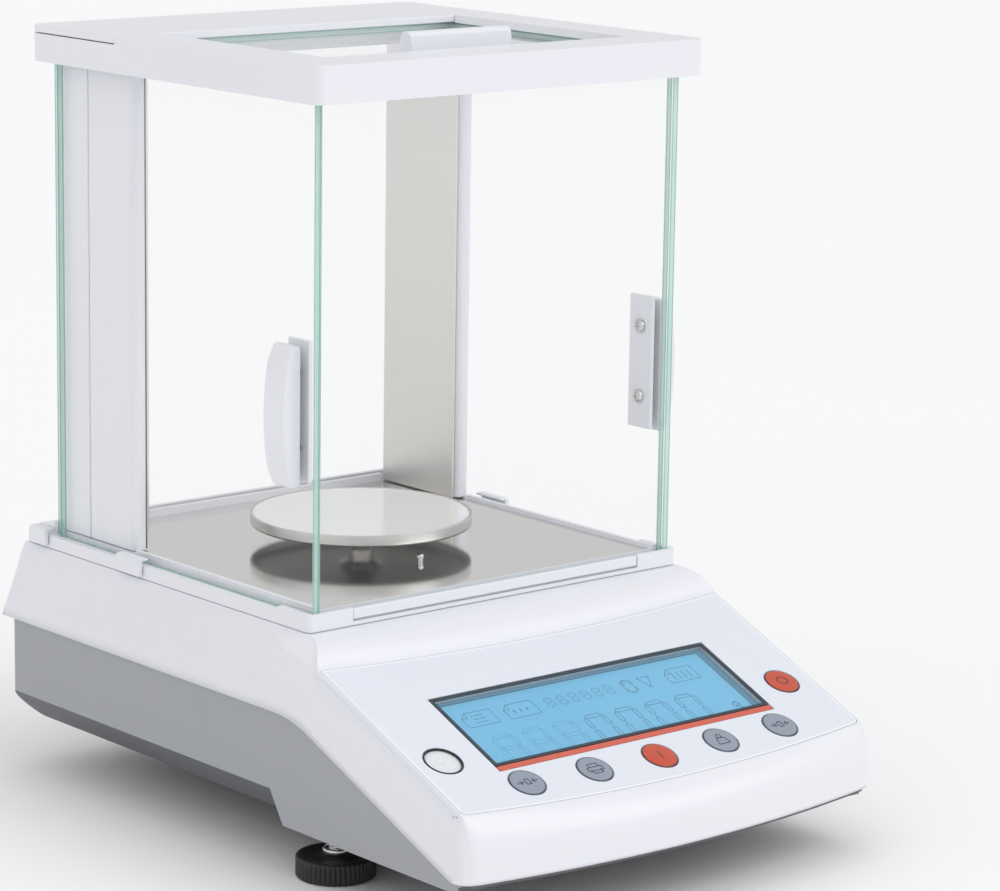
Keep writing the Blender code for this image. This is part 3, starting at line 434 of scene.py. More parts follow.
def vialSilver():                                       # silvered cup, green where the liquid gathers
    f = Finish("vialSilver")
    u, v = consoleWires(f)
    low = 1 - (v + vialLine["slant"] * (u - vialLine["u"])).step(vialLine["v"], 0.0016)
    cloud = f.noise(240, 3)
    silver = cloud.blend((0.30, 0.32, 0.34), (0.52, 0.54, 0.56))
    green = cloud.blend((0.10, 0.30, 0.25), (0.72, 0.86, 0.82))
    return f.close(cloud, 0.0001, 0.3, Base_Color=low.blend(silver, green),
                   Metallic=0.5 - 0.4 * low, Roughness=0.3 + 0.1 * cloud)


def stageFloor():
    f = Finish("paleFloor")
    pale = f.noise(3, 3).blend((0.955, 0.955, 0.955), (0.965, 0.965, 0.965))
    return f.close(Base_Color=pale, Roughness=0.75)


finishes = {}


def mixFinishes():
    finishes.update({
        "white_plastic": whitePlastic("whitePlastic"),
        "grey_plastic": greyShell("greyShell"),
        "liner": linerSteel(),
        "floor": brushedSteel("floorSteel", 0, (0.83, 0.82, 0.80), (0.76, 0.75, 0.73), 0.06, strength=0.04),
        "brushed_steel": brushedSteel("boltSteel", 0, (0.72, 0.70, 0.66), (0.55, 0.53, 0.50), 0.25),
        "screw": turnedSteel("screwSteel", (0, 0), (0.80, 0.80, 0.80), (0.55, 0.55, 0.55), 0.22),
        "satin_steel": turnedSteel("spindleSteel", panMiddle, (0.66, 0.64, 0.61), (0.5, 0.48, 0.46), 0.22),
        # the pan's near-white tones are a painted reflection on its top
        "pan": panSteel("panSteel", panMiddle, (1.0, 1.0, 0.995), (0.97, 0.97, 0.965)),
        "alloy": brushedSteel("castAlloy", 1, (0.74, 0.74, 0.75), (0.6, 0.6, 0.61), 0.34),
        "dark_frame": plainPlastic("windowFrame", (0.035, 0.05, 0.075), (0.02, 0.03, 0.045), 0.25,
                                   strength=0.1),
        "accent": plainPlastic("accentRed", (0.70, 0.135, 0.085), (0.62, 0.11, 0.07), 0.3, strength=0.1),
        "black_plastic": plainPlastic("blackPlastic", (0.022, 0.022, 0.024), (0.010, 0.010, 0.011), 0.42),
        "legend": plainPlastic("legendInk", (0.06, 0.065, 0.08), (0.04, 0.045, 0.055), 0.5, strength=0.1),
        "segment": plainPlastic("segmentInk", (0.02, 0.15, 0.25), (0.016, 0.12, 0.21), 0.5, strength=0.1),
        "faint": plainPlastic("faintInk", (0.085, 0.40, 0.62), (0.075, 0.36, 0.57), 0.5, strength=0.1),
        "vial": clearPlastic("vialLiquid", (0.66, 0.76, 0.72), 0.01),
        "vialBack": vialSilver(),
        "window": clearPlastic("windowPane", (0.75, 0.93, 0.98), 0.03),
        "board": circuitBoard("circuitBoard"),
        "film": overlayFilm(),
        "lcd": screenBlue(),
    })
    print("finishes mixed:", len(finishes))


def addPiece(name, mesh, finish, body, node=None):
    mesh.materials.clear()
    mesh.materials.append(finish)
    piece = bpy.data.objects.new(name, mesh)
    bpy.context.scene.collection.objects.link(piece)
    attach(piece, body)
    if node:
        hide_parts(node)
    return piece


def meshOf(name, points, faces, smoothUnder=35):
    mesh = bpy.data.meshes.new(name)
    mesh.from_pydata(points.reshape(-1, 3), [], faces.tolist() if isinstance(faces, np.ndarray) else faces)
    mesh.validate()
    mesh.shade_smooth()
    mesh.set_sharp_from_angle(angle=math.radians(smoothUnder))
    return mesh


def gridFaces(rows, columns, wrap=False, first=0):      # four corners of each cell, optionally closed round
    r, c = np.meshgrid(np.arange(rows - 1), np.arange(columns if wrap else columns - 1), indexing="ij")
    n = (c + 1) % columns
    return (first + np.stack([r * columns + c, r * columns + n, (r + 1) * columns + n, (r + 1) * columns + c],
                             -1)).reshape(-1, 4)


# points = centre + radius * (cos angle, sin angle) across the axis + height along it, for each profile point
def turnedMesh(name, profile, center, segments=96, axes=None, reach=None):
    profile = np.array(profile, float) * mm
    angle = np.linspace(0, 2 * math.pi, segments, endpoint=False)[None, :]
    swell = np.ones_like(angle) if reach is None else reach(angle, profile)
    radius = np.maximum(profile[:, :1], 1e-7) * swell
    across, up, out = axes if axes is not None else np.eye(3)
    points = (np.array(center) + (radius * np.cos(angle))[..., None] * across
              + (radius * np.sin(angle))[..., None] * up
              + (profile[:, 1:] * np.ones_like(angle))[..., None] * out)
    mesh = meshOf(name, points, gridFaces(len(profile), segments, True))
    shell = bmesh.new()
    shell.from_mesh(mesh)
    bmesh.ops.remove_doubles(shell, verts=shell.verts, dist=2e-6)
    bmesh.ops.holes_fill(shell, edges=[edge for edge in shell.edges if edge.is_boundary])
    bmesh.ops.recalc_face_normals(shell, faces=shell.faces)
    shell.to_mesh(mesh)
    shell.free()
    mesh.shade_smooth()
    mesh.set_sharp_from_angle(angle=math.radians(35))
    return mesh


# a copy of a CAD node with its triangles merged into flat faces and its edges rounded
def soften(node, name, width, finish, segments=2):
    mesh = frame["nodes"][node].data.copy()
    solid = bmesh.new()
    solid.from_mesh(mesh)
    bmesh.ops.remove_doubles(solid, verts=solid.verts, dist=2e-6)
    bmesh.ops.dissolve_limit(solid, angle_limit=math.radians(1.5), verts=solid.verts, edges=solid.edges)
    solid.to_mesh(mesh)
    solid.free()
    mesh.shade_smooth()
    piece = addPiece(name, mesh, finish, bodyOf[node], node)
    rounding = piece.modifiers.new("rounding", "BEVEL")
    rounding.width = width * mm
    rounding.segments = segments
    rounding.limit_method = "ANGLE"
    rounding.angle_limit = math.radians(32)
    rounding.use_clamp_overlap = True
    even = piece.modifiers.new("even", "WEIGHTED_NORMAL")
    even.keep_sharp = True
    return piece


cover = {"half": 107.3, "back": 160.0, "level": 96.8, "edge": 65.5, "noseEdge": 24.6, "consoleTop": -56.8,
         "consoleHalf": 104.4, "plinthFront": -41.1, "plinthHalf": 96.9, "drop": 27.2, "noseTop": -144.6,
         "noseFront": -149.5, "noseBack": -143.2, "wall": 2.6, "film": 0.8, "topBow": 4.9, "endBow": 6.4,
         "noseBow": 10.5, "cornerDepth": 4.5, "cornerStart": 100.5, "backRake": 2.4, "windowHalf": 71.4,
         "windowTop": 63.0, "windowLow": 20.0, "filmHalf": 103.9, "filmCorner": 3.0, "filmTop": 91.9,
         "filmTopBow": 5.0, "filmLow": -1.9, "filmLowBow": 6.6}


def consoleHeight(y):                                   # millimetres
    return console["origin"][2] / mm + (y - console["origin"][1] / mm) * math.tan(console["slope"])


def roundedEnd(x):                                      # how far the nose is rounded back towards its ends
    share = np.clip((np.abs(x) - cover["cornerStart"]) / (cover["half"] - cover["cornerStart"]), 0, 1)
    return cover["cornerDepth"] * (1 - np.sqrt(1 - share ** 2))


def easing(t):
    t = np.clip(t, 0, 1)
    return t * t * (3 - 2 * t)


def coverEdge(y):                                       # a level edge that turns parallel to the console
    slanted = consoleHeight(y) - cover["drop"]
    share = np.clip(0.5 + (slanted - cover["edge"]) / 10, 0, 1)
    lower = slanted * (1 - share) + cover["edge"] * share - 5 * share * (1 - share)
    return np.maximum(lower, cover["noseEdge"])


# Rows run from the back edge over the top, down the convex fall, along the console and round the nose. Each
# row has top columns, bowed by 1 - (x / half)^2, and four side points: crease, shoulder, middle and lower
# edge. A quadratic curve drawn by the side points rounds the shoulder.
def upperCover():
    c = cover
    filmHalf, filmCorner = c["filmHalf"], c["filmCorner"]
    corner = filmHalf - filmCorner + filmCorner * np.sin(np.radians(np.arange(0, 91, 6)))
    columns = np.r_[np.linspace(0, c["windowHalf"], 26), np.linspace(73, 100, 12), corner, filmHalf + 1e-4,
                    104.0]
    share = columns / c["consoleHalf"]
    inFilm = columns < filmHalf + 5e-5
    share = np.r_[-share[:0:-1], share]
    inFilm = np.r_[inFilm[:0:-1], inFilm]
    parts = []

    def bow(x):
        return 1 - np.clip(np.abs(x) / c["consoleHalf"], 0, 1) ** 2

    def endY(x):                                         # lower end of the console, round at its corners
        return c["noseTop"] - c["endBow"] * bow(x) + roundedEnd(x)

    def addRows(crease, yOf, zOf, shoulder, middle, edge, film=None):
        x = crease[:, None] * share[None, :]
        y, z = yOf(x), zOf(x)
        if film is not None:
            dip = film[:, None] * inFilm[None, :] * c["film"]
            y, z = y - dip * nAxis[1], z - dip * nAxis[2]
        start = np.stack([crease, yOf(crease[:, None])[:, 0], zOf(crease[:, None])[:, 0]], -1)
        parts.append((np.stack([x, y, z], -1), np.stack([start, shoulder, middle, edge], 1)))

    def sidePoints(y, top):
        weight = easing((y + 2) / (c["consoleTop"] + 2))
        edge = coverEdge(y)
        shoulderX = 98.4 + 7.6 * easing(weight * 1.3)
        shoulderZ = np.maximum(94 + (top - 7.4 - 94) * weight, edge + 4)
        middleX = 102.6 + 4.2 * weight
        middleZ = (shoulderZ + edge) / 2
        return (np.stack([shoulderX, y, shoulderZ], -1), np.stack([middleX, y, middleZ], -1),
                np.stack([np.full_like(y, c["half"]), y, edge], -1))

    def same(values):                                    # one value for each row, at every column
        return lambda x: values[:, None] + 0 * x

    rise = np.linspace(0, 1, 10)                         # back wall
    backTop = np.array([[c["plinthHalf"], 157.6, 96.0], [98.4, 157.8, 93.0], [102.6, 158.8, 79.0],
                        [c["half"], c["back"], c["edge"]]])
    backLow = np.stack([backTop[:, 0], np.full(4, c["back"]), np.full(4, c["edge"])], -1)
    side = backLow[None] + (backTop - backLow)[None] * rise[:, None, None]
    addRows(np.full(10, c["plinthHalf"]), same(c["back"] - c["backRake"] * rise),
            same(c["edge"] + 30.5 * rise), side[:, 1], side[:, 2], side[:, 3])

    y = np.r_[157.2, 156.4, np.linspace(152, 4, 20), np.linspace(0, c["plinthFront"], 22)]      # level top
    level = np.full_like(y, c["level"])
    level[0] -= 0.25
    addRows(np.full_like(y, c["plinthHalf"]), same(y), same(level), *sidePoints(y, level))

    k = np.linspace(0, 1, 27)[1:]                        # convex fall, a quarter ellipse cut at 78 degrees
    cut = math.radians(78)
    out, down = np.sin(cut * k) / math.sin(cut), (1 - np.cos(cut * k)) / (1 - math.cos(cut))
    crease = c["plinthHalf"] + (c["consoleHalf"] - c["plinthHalf"]) * easing(k)

    def fallY(x, along=out[:, None]):
        return c["plinthFront"] - (c["plinthFront"] - c["consoleTop"] + c["topBow"] * bow(x)) * along

    def fallZ(x):
        return c["level"] + (consoleHeight(fallY(x, 1.0)) - c["level"]) * down[:, None]

    addRows(crease, fallY, fallZ, *sidePoints(fallY(crease[:, None])[:, 0], fallZ(crease[:, None])[:, 0]))

    # console rows in v, from its bowed top edge to its bowed lower edge, and straight along the window
    ahead, lean = -console["origin"][1] / mm, float(vAxis[1])

    def filmBow(x):
        return 1 - np.clip(np.abs(x) / filmHalf, 0, 1) ** 2

    def topEnd(x):
        return (c["consoleTop"] - c["topBow"] * bow(x) + ahead) / lean

    def filmTop(x):
        return c["filmTop"] - c["filmTopBow"] * filmBow(x)

    def filmLow(x):
        share = np.clip((np.abs(x) - filmHalf + filmCorner) / filmCorner, 0, 1)
        return c["filmLow"] - c["filmLowBow"] * filmBow(x) + filmCorner * (1 - np.sqrt(1 - share ** 2))

    def lowEnd(x):
        return (endY(x) + ahead) / lean

    def straight(value):
        return lambda x: value + 0 * x

    stops = [(filmTop, 0, 1), (filmTop, 1, 1), (straight(c["windowTop"]), 1, 12),
             (straight(c["windowLow"]), 1, 14), (filmLow, 1, 12), (filmLow, 0, 1), (lowEnd, 0, 4)]
    last = topEnd
    lines, film = [], []
    for shape, inside, count in stops:
        lines += [(last, shape, (j + 1) / count) for j in range(count)]
        film += [inside] * count
        last = shape

    def vOf(x):
        rows = [a(x[k:k + 1] if len(x) > 1 else x) * (1 - t) + b(x[k:k + 1] if len(x) > 1 else x) * t
                for k, (a, b, t) in enumerate(lines)]
        return np.concatenate(rows)

    def planeY(x):
        return vOf(x) * lean - ahead

    def planeZ(x):
        return consoleHeight(planeY(x))

    film = np.array(film, float)
    crease = np.full(len(film), c["consoleHalf"])
    y = np.maximum(planeY(crease[:, None])[:, 0], c["noseBack"])
    addRows(crease, planeY, planeZ, *sidePoints(y, consoleHeight(y)), film)

    t = np.linspace(0, 1, 27)[1:]                        # nose: rolls over, then falls to its lower edge
    roll = 1 - (1 - np.minimum(t * 1.6, 1)) ** 2
    crease = np.full_like(t, c["consoleHalf"])

    def noseY(x):
        front = c["noseFront"] - c["noseBow"] * bow(x) + roundedEnd(x)
        return endY(x) + (front - endY(x)) * roll[:, None]

    def noseZ(x):
        top = consoleHeight(endY(x))
        return top + (c["noseEdge"] - top) * (0.35 * t * t + 0.65 * t)[:, None]

    y, z = noseY(crease[:, None])[:, 0], noseZ(crease[:, None])[:, 0]
    low = c["noseEdge"]
    back = c["noseBack"]
    addRows(crease, noseY, noseZ,
            np.stack([crease + 1.7, np.minimum(y + 1.4, back), np.maximum(z - 5.5 * (1 - t), low)], -1),
            np.stack([np.full_like(y, 107.0), np.minimum(y + 3, back), np.maximum(z - 9 * (1 - t), low)], -1),
            np.stack([np.full_like(y, c["half"]), np.full_like(y, back), np.full_like(y, low)], -1))

    top = np.concatenate([part[0] for part in parts])
    start, shoulder, waist, foot = np.concatenate([part[1] for part in parts]).transpose(1, 0, 2)
    control = np.stack([start - (0.4, 0, 0), start, start + 0.08 * (shoulder - start),      # a crisp crease
                        shoulder - 0.18 * (shoulder - start), shoulder + 0.1 * (waist - shoulder),
                        waist, foot], 1)
    right = np.einsum("sk,rkd->rsd", quadraticCurve(7, 26), control)
    left = right[:, ::-1] * np.array([-1, 1, 1])
    points = np.concatenate([left, top, right], 1) * mm
    rows, columns = points.shape[:2]
    faces = gridFaces(rows, columns)
    middle = points.reshape(-1, 3)[faces].mean(1)        # leave out the cells under the window
    v = (middle - console["origin"]) @ vAxis
    n = (middle - console["origin"]) @ nAxis
    window = ((np.abs(middle[:, 0]) < c["windowHalf"] * mm) & (v > c["windowLow"] * mm)
              & (v < c["windowTop"] * mm) & (np.abs(n) < 1.2 * mm))
    mesh = meshOf("upperCover", points, faces[~window][:, ::-1], 40)
    skin = bmesh.new()
    skin.from_mesh(mesh)
    bmesh.ops.remove_doubles(skin, verts=skin.verts, dist=1e-8)
    skin.normal_update()
    if sum(face.normal.z * face.calc_area() for face in skin.faces) < 0:
        bmesh.ops.reverse_faces(skin, faces=skin.faces)
    skin.to_mesh(mesh)
    skin.free()
    piece = addPiece("upperCover", mesh, finishes["white_plastic"], "housing", "upper_cover")
    wall = piece.modifiers.new("wall", "SOLIDIFY")
    wall.thickness = c["wall"] * mm
    wall.offset = -1
    print("upper cover:", rows, "by", columns)


# basis of a clamped quadratic spline: row s holds the weights of its control points at parameter s
def quadraticCurve(count, samples):
    knots = np.r_[0, 0, np.linspace(0, 1, count - 1), 1, 1]
    s = np.linspace(0, 1, samples)[1:]
    basis = ((s[:, None] >= knots[None, :-1]) & (s[:, None] < knots[None, 1:])).astype(float)
    for degree in (1, 2):
        a, b = knots[:-degree - 1], knots[degree:-1]
        d, e = knots[1:-degree], knots[degree + 1:]
        rising = np.divide(s[:, None] - a, b - a, out=np.zeros((len(s), len(a))), where=(b - a) > 0)
        falling = np.divide(e - s[:, None], e - d, out=np.zeros((len(s), len(d))), where=(e - d) > 0)
        basis = rising * basis[:, :-1] + falling * basis[:, 1:]
    basis[-1] = 0
    basis[-1, -1] = 1
    return basis


keyProfile = [(0, 0.6), (2.0, 0.59), (4.0, 0.55), (5.4, 0.48), (6.4, 0.38), (6.9, 0.25), (7.2, 0.08),
              (7.42, -0.15), (7.5, -0.5), (7.5, -2.0), (3.0, -2.0), (3.0, -10.6), (0, -10.6)]
keySpots = {"tare_key_left": (-65.6, 7.2), "print_key": (-32.6, 6.0), "on_key": (0.4, 5.2),
            "calibrate_key": (33.4, 5.8), "tare_key_right": (66.4, 6.6), "off_key": (88.9, 30.8)}
keyLooks = {"on_key": "red", "off_key": "red"}
keyColors = {"red": (0.60, 0.075, 0.03), "grey": (0.30, 0.34, 0.42), "redEdge": (0.10, 0.03, 0.03),
             "greyEdge": (0.07, 0.08, 0.11)}


def keyCaps():
    for node, spot in keySpots.items():
        u, v = spot[0] * mm, spot[1] * mm
        look = keyLooks.get(node, "grey")
        name = camel(node)
        mesh = turnedMesh(name, keyProfile, onConsole(np.array(u), np.array(v), np.array(0.0)), 72,
                          (uAxis, vAxis, nAxis))
        finish = keyPlastic(name + "Finish", (u, v), keyColors[look], keyColors[look + "Edge"])
        addPiece(name + "Cap", mesh, finish, bodyOf[node], node)
        flatMesh(name + "Legend", legendStrokes[node], (u, v), bodyOf[node], finishes["legend"], domeHeight)


def domeHeight(u, v):                                   # just over a key's top, in mm off the console
    profile = np.array(keyProfile[:9])
    return np.interp(np.hypot(u, v), profile[:, 0], profile[:, 1]) + 0.03


def bar(a, b, width):                                   # a straight stroke, as a strip of short quads
    a, b = np.array(a, float), np.array(b, float)
    steps = max(2, int(np.hypot(*(b - a)) / 0.8) + 1)
    along = a + (b - a) * np.linspace(0, 1, steps)[:, None]
    side = np.array([-(b - a)[1], (b - a)[0]]) / np.hypot(*(b - a)) * width / 2
    return np.stack([along + side, along - side], 1)


def arc(center, radius, width, start=0, end=360, steps=25):
    angle = np.radians(np.linspace(start, end, steps))[:, None]
    ray = np.concatenate([np.cos(angle), np.sin(angle)], 1)
    return np.stack([center + ray * (radius + width / 2), center + ray * (radius - width / 2)], 1)


def path(points, width, closed=False):
    points = list(points) + ([points[0]] if closed else [])
    return [bar(a, b, width) for a, b in zip(points, points[1:])]


zero = path([(-1.0, -1.5), (1.0, -1.5), (1.0, 1.5), (-1.0, 1.5)], 0.42, True)
inwardArrows = [bar((side * tail, rise), (side * 2.2, 0), 0.4) for side in (-1, 1)
                for tail, rise in ((5.0, 0), (3.4, 1.1), (3.4, -1.1))]
printer = (path([(-3.6, -1.4), (3.6, -1.4), (3.6, 0.9), (-3.6, 0.9)], 0.4, True)
           + path([(-2.2, 0.9), (-2.2, 2.8), (2.2, 2.8), (2.2, 0.9)], 0.38)
           + path([(-2.2, -0.4), (-2.2, -2.8), (2.2, -2.8), (2.2, -0.4)], 0.38))
weight = path([(-2.8, -2.6), (2.8, -2.6), (2.0, 0.9), (-2.0, 0.9)], 0.42, True) + [arc((0, 2.0), 1.1, 0.42)]
legendStrokes = {
    "tare_key_left": zero + inwardArrows, "tare_key_right": zero + inwardArrows, "print_key": printer,
    "calibrate_key": weight, "on_key": [bar((0, -2.4), (0, 2.4), 0.5)], "off_key": [arc((0, 0), 2.3, 0.5)]}


# flat strokes laid on the console at u, v, n: each stroke is a strip with two points a step
def flatMesh(name, strokes, center, body, finish, height, thickness=0.02):
    points, faces, count = [], [], 0
    for strip in strokes:
        flat = strip.reshape(-1, 2)
        lift = height(flat[:, 0], flat[:, 1])
        points.append(onConsole(center[0] + flat[:, 0] * mm, center[1] + flat[:, 1] * mm, lift * mm))
        faces.append(gridFaces(len(strip), 2, first=count))
        count += len(flat)
    mesh = meshOf(name, np.concatenate(points), np.concatenate(faces))
    patch = bmesh.new()
    patch.from_mesh(mesh)
    turned = [face for face in patch.faces if face.normal.dot(nAxis.tolist()) < 0]
    bmesh.ops.reverse_faces(patch, faces=turned)
    patch.to_mesh(mesh)
    patch.free()
    piece = addPiece(name, mesh, finish, body)
    ink = piece.modifiers.new("ink", "SOLIDIFY")
    ink.thickness = thickness * mm
    ink.offset = 1
    return piece


digit = {"width": 9.2, "height": 15.0, "bar": 1.9, "gap": 0.5, "line": 0.3}


def segmentOutline(a, b, wide, line):                   # outline of a long hexagon round the line a to b
    a, b = np.array(a, float), np.array(b, float)
    along = (b - a) / np.hypot(*(b - a))
    side = np.array([-along[1], along[0]]) * wide / 2
    half = along * wide / 2
    corners = [a, a + half + side, b - half + side, b, b - half - side, a + half - side]
    return path(corners, line, True)


def digitStrokes(left, low, lit="abcdef", scale=1.0):
    w, h, g = digit["width"] * scale, digit["height"] * scale, digit["gap"]
    ends = {"a": ((g, h), (w - g, h)), "b": ((w, h - g), (w, h / 2 + g)), "c": ((w, h / 2 - g), (w, g)),
            "d": ((g, 0), (w - g, 0)), "e": ((0, g), (0, h / 2 - g)), "f": ((0, h / 2 + g), (0, h - g)),
            "g": ((g, h / 2), (w - g, h / 2))}
    offset = np.array([left, low])
    strokes = []
    for key in lit:
        a, b = ends[key]
        strokes += segmentOutline(np.array(a) + offset, np.array(b) + offset, digit["bar"] * scale,
                                  digit["line"])
    return strokes


def framedIcon(left, low, wide, tall):                  # a small page with a folded corner
    fold = 3
    page = [(left, low), (left + wide, low), (left + wide, low + tall), (left + fold, low + tall),
            (left, low + tall - fold)]
    flap = [(left, low + tall - fold), (left + fold, low + tall - fold), (left + fold, low + tall)]
    return path(page, 0.28, True) + path(flap, 0.28)


def screenHeight(u, v):                                 # just over the screen module's face
    return -2.38 + 0 * u


def screenMarks():
    strong, faint = [], []
    for k in range(4):
        strong += digitStrokes(-12.0 + 16.0 * k, 22.5)
    for k in range(3):
        faint += digitStrokes(-59.0 + 15.4 * k, 22.5, "abcdefg")
    for left, low in ((-63.5, 45.5), (-42.5, 45.5), (42.5, 46.0)):
        strong += framedIcon(left, low, 15.5, 8.6)
    for k in range(3):                                   # wind lines, level dots and charge bars
        strong.append(bar((-58.5, 47.6 + 2.1 * k), (-52.5, 47.6 + 2.1 * k), 0.3))
        strong.append(bar((-38.2 + 3.2 * k, 48.4), (-38.2 + 3.2 * k, 50.4), 0.55))
    for k in range(4):
        strong.append(bar((46.2 + 2.8 * k, 47.6), (46.2 + 2.8 * k, 52.2), 0.4))
    strong += digitStrokes(19.5, 45.8, "abcdef", 0.5)
    strong += path([(28.5, 53.2), (34.5, 53.2), (31.5, 46.6)], 0.3, True)
    strong += digitStrokes(59.0, 22.8, "abcdfg", 0.32)
    for k in range(6):
        faint += digitStrokes(-21.0 + 6.2 * k, 47.5, "abcdefg", 0.36)
    for name, strokes, ink in (("screenDigits", strong, "segment"), ("screenGhostDigits", faint, "faint")):
        flatMesh(name, strokes, (0, 0), "housing", finishes[ink], screenHeight, 0.01)


def cupHeight(u, v):                                    # just over the level's hollow cup
    return np.interp(np.hypot(u, v), (0, 3, 5.2), (-2.4, -2.3, -1.9)) + 0.03


def levelGauge():
    u, v = consoleSpot("level_ring")
    at = onConsole(np.array(u), np.array(v), np.array(0.0))
    axes = (uAxis, vAxis, nAxis)
    ring = [(7.9, -7.9), (7.9, 0.05), (7.82, 0.2), (7.7, 0.28), (7.5, 0.28), (7.36, 0.18), (7.26, 0.0),
            (7.26, -7.9)]
    mesh = turnedMesh("levelRing", ring + ring[:1], at, 72, axes)
    addPiece("levelRing", mesh, finishes["black_plastic"], "housing", "level_ring")
    dome = [(0, 0.85), (2, 0.8), (3.8, 0.64), (5.2, 0.42), (6.3, 0.12), (6.8, -0.2), (6.8, -0.9), (0, -0.9)]
    addPiece("levelDome", turnedMesh("levelDome", dome, at, 72, axes), finishes["vial"], "housing",
             "level_vial")
    back = [(0, -2.4), (3.0, -2.3), (5.2, -1.9), (6.8, -1.2), (6.8, -7.5), (0, -7.5)]
    addPiece("levelBack", turnedMesh("levelBack", back, at, 48, axes), finishes["vialBack"], "housing")
    mark = [arc((0, 0), 3.0, 0.28, steps=49)]
    flatMesh("levelMark", mark, (u, v), "housing", finishes["legend"], cupHeight)
    bubble = [(0, 0.28), (0.9, 0.22), (1.7, 0.02), (2.05, -0.28), (1.7, -0.58), (0.9, -0.78), (0, -0.84)]
    shifted = onConsole(np.array(u - 0.7 * mm), np.array(v + 0.9 * mm), np.array(-0.2 * mm))
    addPiece("levelBubble", turnedMesh("levelBubble", bubble, shifted, 40, axes),
             clearPlastic("bubbleAir", (0.95, 1.0, 0.97), 0.12), "housing")


panShape = [(0, 115.9), (20, 115.9), (40, 115.9), (43.6, 115.92), (45, 116.0), (45.7, 116.15), (46.1, 116.3),
            (46.35, 116.4), (46.5, 116.35), (46.58, 116.1), (46.6, 115.7), (46.6, 114.6), (46.6, 113.2),
            (46.55, 112.2), (46.4, 111.7), (46.0, 111.45), (45.6, 111.4), (45.3, 111.5), (45.2, 111.8),
            (45.2, 113.2), (45.2, 114.2), (45.1, 114.5), (44.4, 114.6), (40, 114.6), (0, 114.6)]


def weighingPan():
    low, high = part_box("weighing_pan")
    center = ((low[0] + high[0]) / 2, (low[1] + high[1]) / 2, 0)
    addPiece("weighingPan", turnedMesh("weighingPan", panShape, center, 160), finishes["pan"], "pan",
             "weighing_pan")
    pin = [(0, 107.2), (0.7, 107.15), (1.25, 106.8), (1.5, 106.3), (1.5, 105.3), (1.15, 105.1),
           (1.15, 103.75), (0, 103.75)]                 # small overload pin on the floor plate
    addPiece("floorPin", turnedMesh("floorPin", pin, (-4 * mm, 5 * mm, 0), 40), finishes["screw"], "housing")


foot = {"radius": 15.9, "height": 8.8, "flutes": 48, "depth": 0.55, "thread": 1.1, "bore": 2.72, "crest": 3.1,
        "threadLow": 11.8, "threadTop": 27.9}


# wheel radius = profile radius less a rounded groove, |sin(half the flutes * angle)|, that fades at both rims
def knurl(angle, profile):
    height = profile[:, 1:] / mm
    band = np.clip(np.minimum(height - 0.3, foot["height"] - 0.3 - height) / 0.9, 0, 1)
    band = band * (profile[:, :1] / mm > 13)
    return 1 - band * foot["depth"] / foot["radius"] * (1 - np.abs(np.sin(foot["flutes"] / 2 * angle))) ** 1.5


def levellingFeet():
    for side in ("left", "right"):
        low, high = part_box("foot_wheel_" + side)
        center = ((low[0] + high[0]) / 2, (low[1] + high[1]) / 2, 0)
        wheel = [(0, 0), (12.5, 0), (14.9, 0.05), (15.5, 0.35), (15.9, 0.9), (15.9, 2.5), (15.9, 4.4),
                 (15.9, 6.3), (15.9, 7.9), (15.5, 8.45), (14.9, 8.75), (13.4, 8.8), (12.9, 8.6),
                 (11.2, 8.35), (7.4, 8.3), (6.9, 8.5), (6.4, 8.8), (0, 8.8)]
        addPiece(side + "FootWheel", turnedMesh("footWheel", wheel, center, 384, reach=knurl),
                 finishes["black_plastic"], "foot_" + side, "foot_wheel_" + side)
        addPiece(side + "FootStud", threadMesh(center), finishes["screw"], "foot_" + side,
                 "foot_stud_" + side)


# a collar, then a thread: radius = bore + depth * triangle wave of (height / pitch - turn)
def threadMesh(center):
    collar = np.array([(0.01, 9.1), (4.9, 9.1), (5.2, 9.4), (5.2, 11.2), (4.9, 11.6), (3.3, 11.7)])
    around = 48
    height = np.arange(foot["threadLow"], foot["threadTop"], 0.11)
    angle = np.linspace(0, 2 * math.pi, around, endpoint=False)
    wave = 2 * np.abs((height[:, None] / foot["thread"] - angle / (2 * math.pi)) % 1 - 0.5)
    fade = np.clip(np.minimum(height - foot["threadLow"], foot["threadTop"] - height), 0, 1)[:, None]
    radius = foot["bore"] + (foot["crest"] - foot["bore"]) * wave * fade
    radius = np.concatenate([np.repeat(collar[:, :1], around, 1), radius, np.full((1, around), 0.01)])
    rise = np.r_[collar[:, 1], height, 28.0]
    points = np.stack([radius * np.cos(angle), radius * np.sin(angle), rise[:, None] + 0 * radius], -1) * mm
    return meshOf("footStud", points + np.array(center), gridFaces(len(rise), around, True), 50)


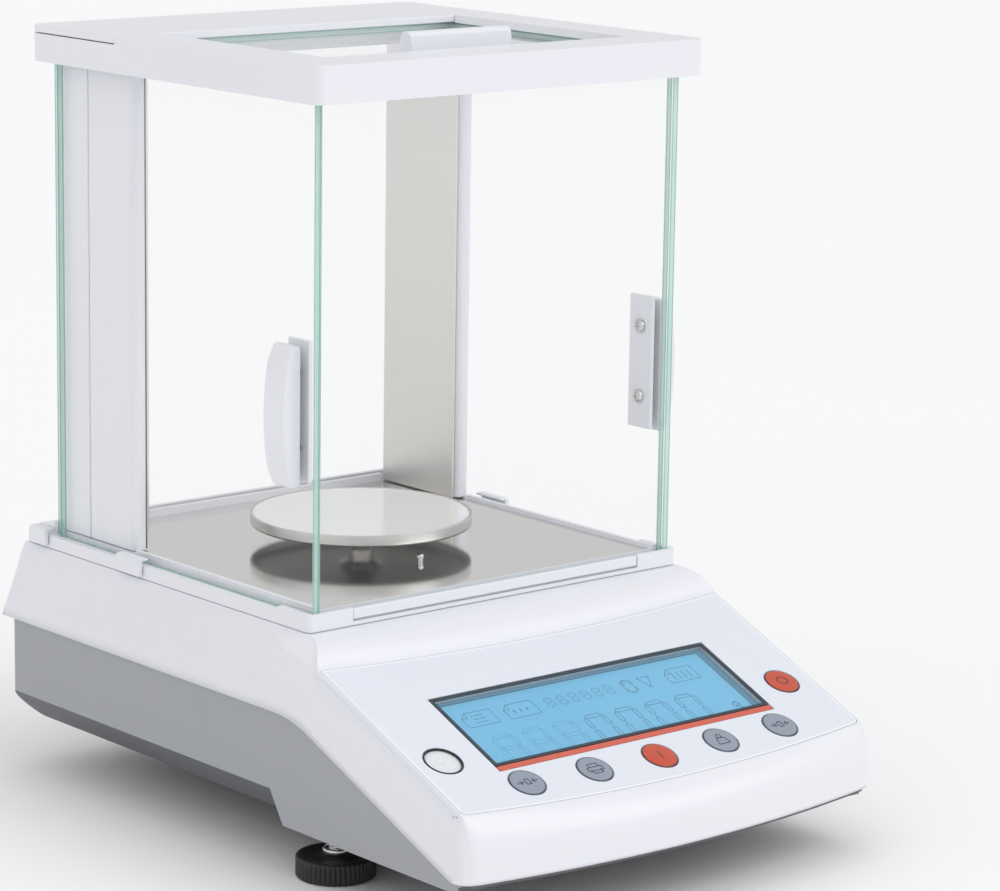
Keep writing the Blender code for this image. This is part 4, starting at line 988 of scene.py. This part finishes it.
softened = {                                            # node: edge radius in millimetres, finish
    "lower_shell": (1.2, "grey_plastic"), "chamber_frame": (0.35, "white_plastic"),
    "front_strip": (0.25, "white_plastic"), "cap_frame": (0.9, "white_plastic"),
    "cap_rear_cover": (0.45, "white_plastic"), "top_door_handle": (0.5, "white_plastic"),
    "floor_plate": (0.15, "floor"), "display_bezel": (0.12, "dark_frame"),
    "accent_strip": (0.12, "accent"), "rear_foot": (0.8, "black_plastic"),
    "power_inlet": (0.4, "black_plastic"), "serial_port": (0.5, "brushed_steel"), "load_cell": (0.6, "alloy"),
    "load_cell_mount": (0.6, "alloy"), "chassis_plate": (0.3, "alloy"), "pan_boss": (0.2, "satin_steel"),
    "pan_spindle": (0.2, "satin_steel")}
sided = {"front_post": (0.6, "white_plastic"), "rear_post": (0.3, "white_plastic"),
         "door_handle": (1.1, "white_plastic"), "door_plate": (0.3, "white_plastic"),
         "rail_clip_front": (0.5, "white_plastic"), "rail_clip_rear": (0.5, "white_plastic"),
         "liner": (0.1, "liner"), "door_screw_lower": (0.08, "screw"), "door_screw_upper": (0.08, "screw")}
panes = ("front_glass", "rear_glass", "door_glass_left", "door_glass_right", "top_door_glass")
bare = {"control_overlay": "film", "display_window": "window", "lcd_module": "lcd", "main_board": "board",
        "key_board": "board"}


def camel(node):
    first, *rest = node.split("_")
    return first + "".join(word.capitalize() for word in rest)


def dressNodes():
    for node, (width, finish) in softened.items():
        soften(node, camel(node), width, finishes[finish])
    for stem, (width, finish) in sided.items():
        for side in ("left", "right"):
            soften(f"{stem}_{side}", camel(f"{stem}_{side}"), width, finishes[finish])
    for node in panes:
        finishes[node] = paneGlass(camel(node) + "Finish", *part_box(node))
    for node, finish in list(bare.items()) + list(zip(panes, panes)):
        mesh = frame["nodes"][node].data
        mesh.materials.clear()
        mesh.materials.append(finishes[finish])
    print("CAD nodes dressed")


def layFloor():
    size = 30.0
    points = np.array([[-size, -size, 0], [size, -size, 0], [size, size, 0], [-size, size, 0]])
    mesh = meshOf("benchTop", points, np.array([[0, 1, 2, 3]]))
    mesh.materials.append(stageFloor())
    bench = bpy.data.objects.new("benchTop", mesh)
    bpy.context.scene.collection.objects.link(bench)


aimCamera()
lightStudio()
layFloor()
mixFinishes()
upperCover()
keyCaps()
screenMarks()
levelGauge()
weighingPan()
levellingFeet()
dressNodes()
